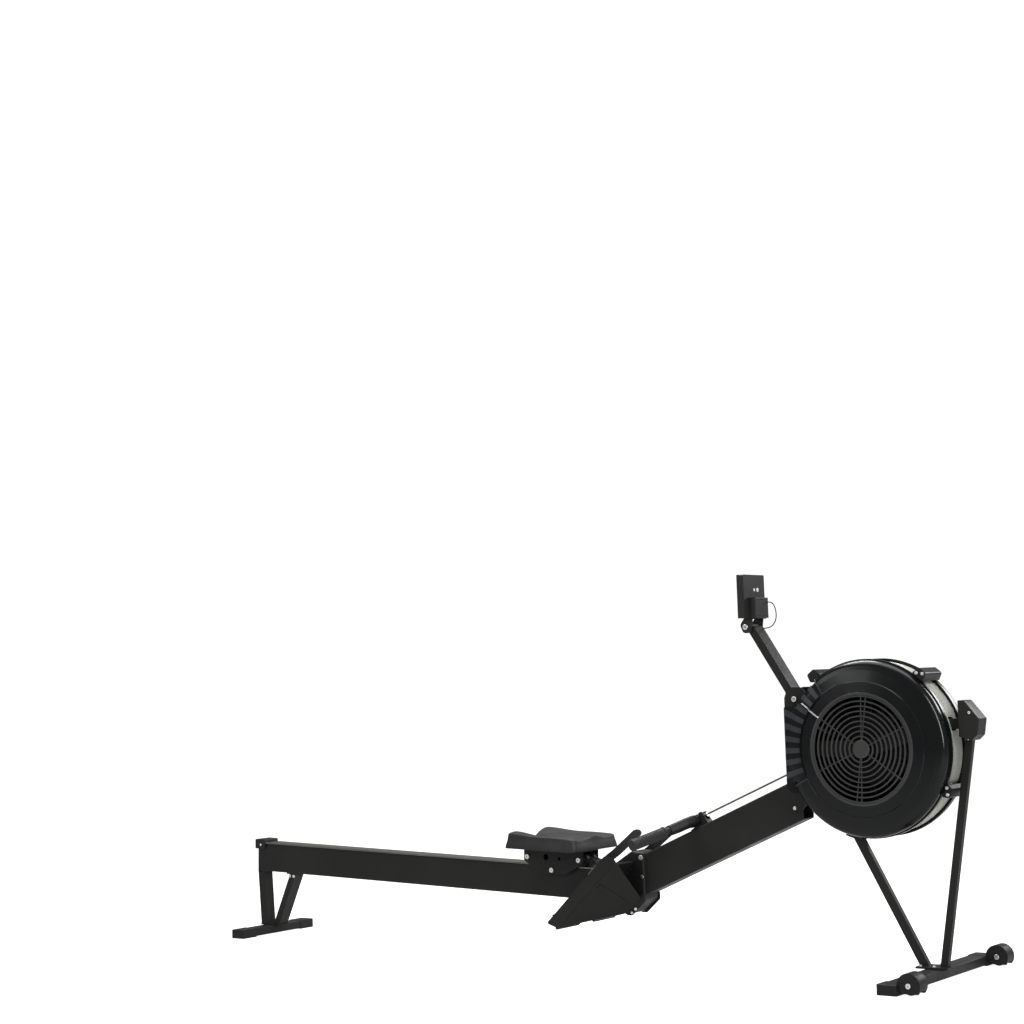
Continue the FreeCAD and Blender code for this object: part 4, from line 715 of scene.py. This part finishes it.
def make_damper_scale():
    """The graduation blocks moulded in the recess behind the damper lever."""
    shapes = {"shell_plastic": [], "scale_grey_and_painted_highlight": []}
    first, pitch, width = 131, 4.0, 3.9
    for i in range(18):
        slot = "scale_grey_and_painted_highlight" if i % 2 == 0 else "shell_plastic"
        shapes[slot].append(flank_block(first + pitch * i, width))
    for slot, parts in shapes.items():
        name = f"damper_scale_{slot}"
        piece = add_object(name, mesh_of(name, *join_shapes(parts)), MATERIALS[slot])
        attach(piece, "frame")


GRILLE_RADIUS = 147
SHELL_FACE = 92


def ring_bead(radius, depth, size):
    """A round bead of plastic around the fan's axis on the right shell."""
    outline = []
    for i in range(10):
        turn = 2 * math.pi * i / 10
        outline.append((radius + size * math.cos(turn), -depth + size * math.sin(turn)))
    return spun(outline, 160)


def make_shell_trim():
    """The rolled lips along the recess's ends, and a bead around the grille, in a lighter grey than the shell as a
    painted highlight.
    """
    slope = [(183, 84.9), (195, 84.0), (210, 81.9), (222, 79.0), (229, 73), (233, 62)]
    shapes = [ring_bead(GRILLE_RADIUS + 1.0, SHELL_FACE - 1.4, 1.6)]
    for angle, lean in ((126.6, -1), (205.6, 1)):
        hook = [(182 + 0.1 * step, angle + lean * step, 85.0) for step in range(16, 2, -2)]
        down = [(radius, angle, depth) for radius, depth in slope]
        path = []
        for radius, degrees, depth in hook + down:
            path.append(HUB + spoke_at(degrees) * radius * MM - ACROSS * depth * MM)
        shapes.append(tube(path, 1.8 * MM, 10))
    mesh = mesh_of("recess_lips", *join_shapes(shapes))
    # The lips and the bead take the lighter grey as a painted highlight along their rolled edges.
    piece = add_object("recess_lips", mesh, MATERIALS["scale_grey_and_painted_highlight"])
    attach(piece, "frame")


# ---------------------------------------------------------------- bolts


def hex_socket(centre, outward, size):
    """A shallow hexagon set in a bolt head, painted near-black as painted shade inside the socket."""
    side = outward.orthogonal().normalized()
    up = outward.cross(side)
    rings = [circle_ring(centre - outward * 0.4 * MM, side, up, size, 6)]
    rings.append(circle_ring(centre + outward * 0.12 * MM, side, up, size, 6))
    rings.append(circle_ring(centre + outward * 0.12 * MM, side, up, size * 0.55, 6))
    rings.append(circle_ring(centre - outward * 0.1 * MM, side, up, size * 0.5, 6))
    return loft(rings)


def make_sockets(name, spots, body):
    """Sockets on both sides of the machine; spots are (place on the axis, reach, size)."""
    shapes = []
    for place, reach, size in spots:
        for side in (-1, 1):
            centre = Vector((place.x, side * reach * MM, place.z))
            shapes.append(hex_socket(centre, ACROSS * side, size * MM))
    # The sockets are painted near-black: painted shade inside the bolt heads.
    piece = add_object(name, mesh_of(name, *join_shapes(shapes)), MATERIALS["near_black_and_painted_shade"])
    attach(piece, body)


def make_bolt_details():
    make_sockets("wheel_bolt_sockets", [(WHEEL, 297.5, 2.2)], "frame")
    axles = (REAR_AXLE, FRONT_AXLE, LOWER_AXLE)
    make_sockets("roller_bolt_sockets", [(axle, 46, 2.2) for axle in axles], "seat")
    make_sockets("arm_bolt_sockets", [(ARM_PIVOT, 39.3, 3.6), (TILT_PIVOT, 37.4, 3.6)], "arm")


# ---------------------------------------------------------------- foot straps


def board_point(x, y, z):
    return BOARD @ (Vector((x, y, z)) * MM)


def make_strap(name, side):
    """One webbing strap over the foot, threaded through its buckle to a free end past the toe."""
    arch = [(45.2, -27), (45.2, -2), (64, 12.6), (94, 14), (124, 12.6), (141.8, -2), (141.8, -27)]
    corners = [board_point(214, side * y, z) for y, z in arch]
    up_the_board = BOARD.to_3x3() @ Vector((1, 0, 0))
    over = ribbon(rounded_path(corners, 24 * MM), up_the_board, 34 * MM, 2.2 * MM)
    slope, twist = math.radians(38), math.radians(34)
    way = Vector((math.cos(slope), 0, math.sin(slope)))
    up = way.cross(ACROSS)
    wide = ACROSS * math.cos(twist) - up * math.sin(twist)
    straight, lead_in, steps = 0.074, 0.03, 24
    bend = Vector((0.282, side * 0.1, 0.374)) - way * (straight + lead_in)
    start = board_point(212, side * 100, 13.8)
    lead = rounded_path([start, bend, bend + way * lead_in], 50 * MM)
    tip = [bend + way * (lead_in + straight * t / steps) for t in range(steps + 1)]
    tail = ribbon(lead[:-1] + tip, wide, 30 * MM, 3.2 * MM, True)
    mesh = mesh_of(name, *join_shapes([over, tail]))
    piece = add_object(name, mesh, MATERIALS["webbing"])
    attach(piece, "frame")
    return piece


# ---------------------------------------------------------------- handle


def make_swivel_plate():
    """The bright steel plate on the handle's front that the chain's swivel turns in."""
    shapes = [
        beveled_block((16.6, -9, -9), (18.6, 9, 12), 0.9, HANDLE),
        beveled_block((4, -9, 11.5), (18.6, 9, 13.8), 0.9, HANDLE),
    ]
    mesh = mesh_of("swivel_plate", *join_shapes(shapes))
    piece = add_object("swivel_plate", mesh, MATERIALS["bright_bolt"])
    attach(piece, "handle")


# ---------------------------------------------------------------- monitor


def make_monitor_details():
    """Sockets on the monitor's back, its battery cover's seams, and segments on its display."""
    world = Matrix.Identity(4)
    pale = []
    for y, radius in ((18, 5.9), (0, 4.4)):
        centre = Vector((626.2 * MM, y * MM, 1037 * MM))
        steps = ((1, -6.0), (1, 0.6), (0.9, 1.0), (0.2, 1.0), (0.15, 0))
        rings = []
        for share, out in steps:
            ring_centre = centre + Vector((out * MM, 0, 0))
            rings.append(circle_ring(ring_centre, ACROSS, UP, radius * share * MM, 24))
        pale.append(loft(rings))
    seams = [
        beveled_block((648.6, -37.4, 963), (649.35, 37.4, 964), 0.3, world, 1),
        beveled_block((648.6, -30, 1008), (649.35, 30, 1009), 0.3, world, 1),
        beveled_block((648.6, -8, 1009.5), (649.5, 8, 1012), 0.4, world, 1),
    ]
    bars = []
    face, proud = 604.25, 603.85
    for row in range(4):
        z = 1058 - 16 * row
        for column in range(3):
            y = 28 - 24 * column
            bars.append(beveled_block((proud, y - 8, z - 7.5), (face, y + 8, z - 6.3), 0.1, world, 1))
            end = y - 1 - 2 * row
            bars.append(beveled_block((proud, y - 8, z - 1), (face, end, z + 5), 0.1, world, 1))
    details = (
        ("jack_sockets", pale, "pale_socket", "button_rubber"),
        ("battery_seams", seams, "near_black_and_painted_shade", "rubber_black"),
        ("display_segments", bars, "near_black_and_painted_shade", "rubber_black"),
    )
    for name, shapes, material, slot in details:
        piece = add_object(name, mesh_of(name, *join_shapes(shapes)), MATERIALS[material])
        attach(piece, "monitor")


CABLE_ROUTE = [
    (0.6494, 0.030, 1.002),
    (0.662, 0.031, 1.003),
    (0.672, 0.033, 0.987),
    (0.675, 0.034, 0.962),
    (0.668, 0.032, 0.940),
    (0.652, 0.027, 0.929),
    (0.6402, 0.020, 0.9295),
]


def make_cable():
    """The thin sensor lead from the battery box to the arm."""
    curve = bpy.data.curves.new("sensor_lead_line", "CURVE")
    curve.dimensions = "3D"
    curve.resolution_u = 24
    spline = curve.splines.new("NURBS")
    spline.points.add(len(CABLE_ROUTE) - 1)
    for point, place in zip(spline.points, CABLE_ROUTE):
        point.co = (*place, 1)
    spline.order_u = 3
    spline.use_endpoint_u = True
    line = bpy.data.objects.new("sensor_lead_line", curve)
    bpy.context.scene.collection.objects.link(line)
    bpy.context.view_layer.update()
    flat = bpy.data.meshes.new_from_object(line)
    path = [v.co.copy() for v in flat.vertices]
    bpy.data.objects.remove(line)
    bpy.data.meshes.remove(flat)
    radius = 1.5 * MM
    mesh = mesh_of("sensor_lead", *tube(path, radius, 12))
    piece = add_object("sensor_lead", mesh, MATERIALS["cable_rubber"], 60)
    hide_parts("monitor_cable")
    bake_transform(piece)


# ---------------------------------------------------------------- the whole scene


add_camera()
make_cable()
add_light_and_floor()
dress_cad_nodes()
make_seat()
make_chain()
make_mesh_band()
make_damper_scale()
make_shell_trim()
make_bolt_details()
straps = [make_strap("strap_left", 1), make_strap("strap_right", -1)]
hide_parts("foot_straps")
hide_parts("foot_straps")
make_swivel_plate()
make_monitor_details()
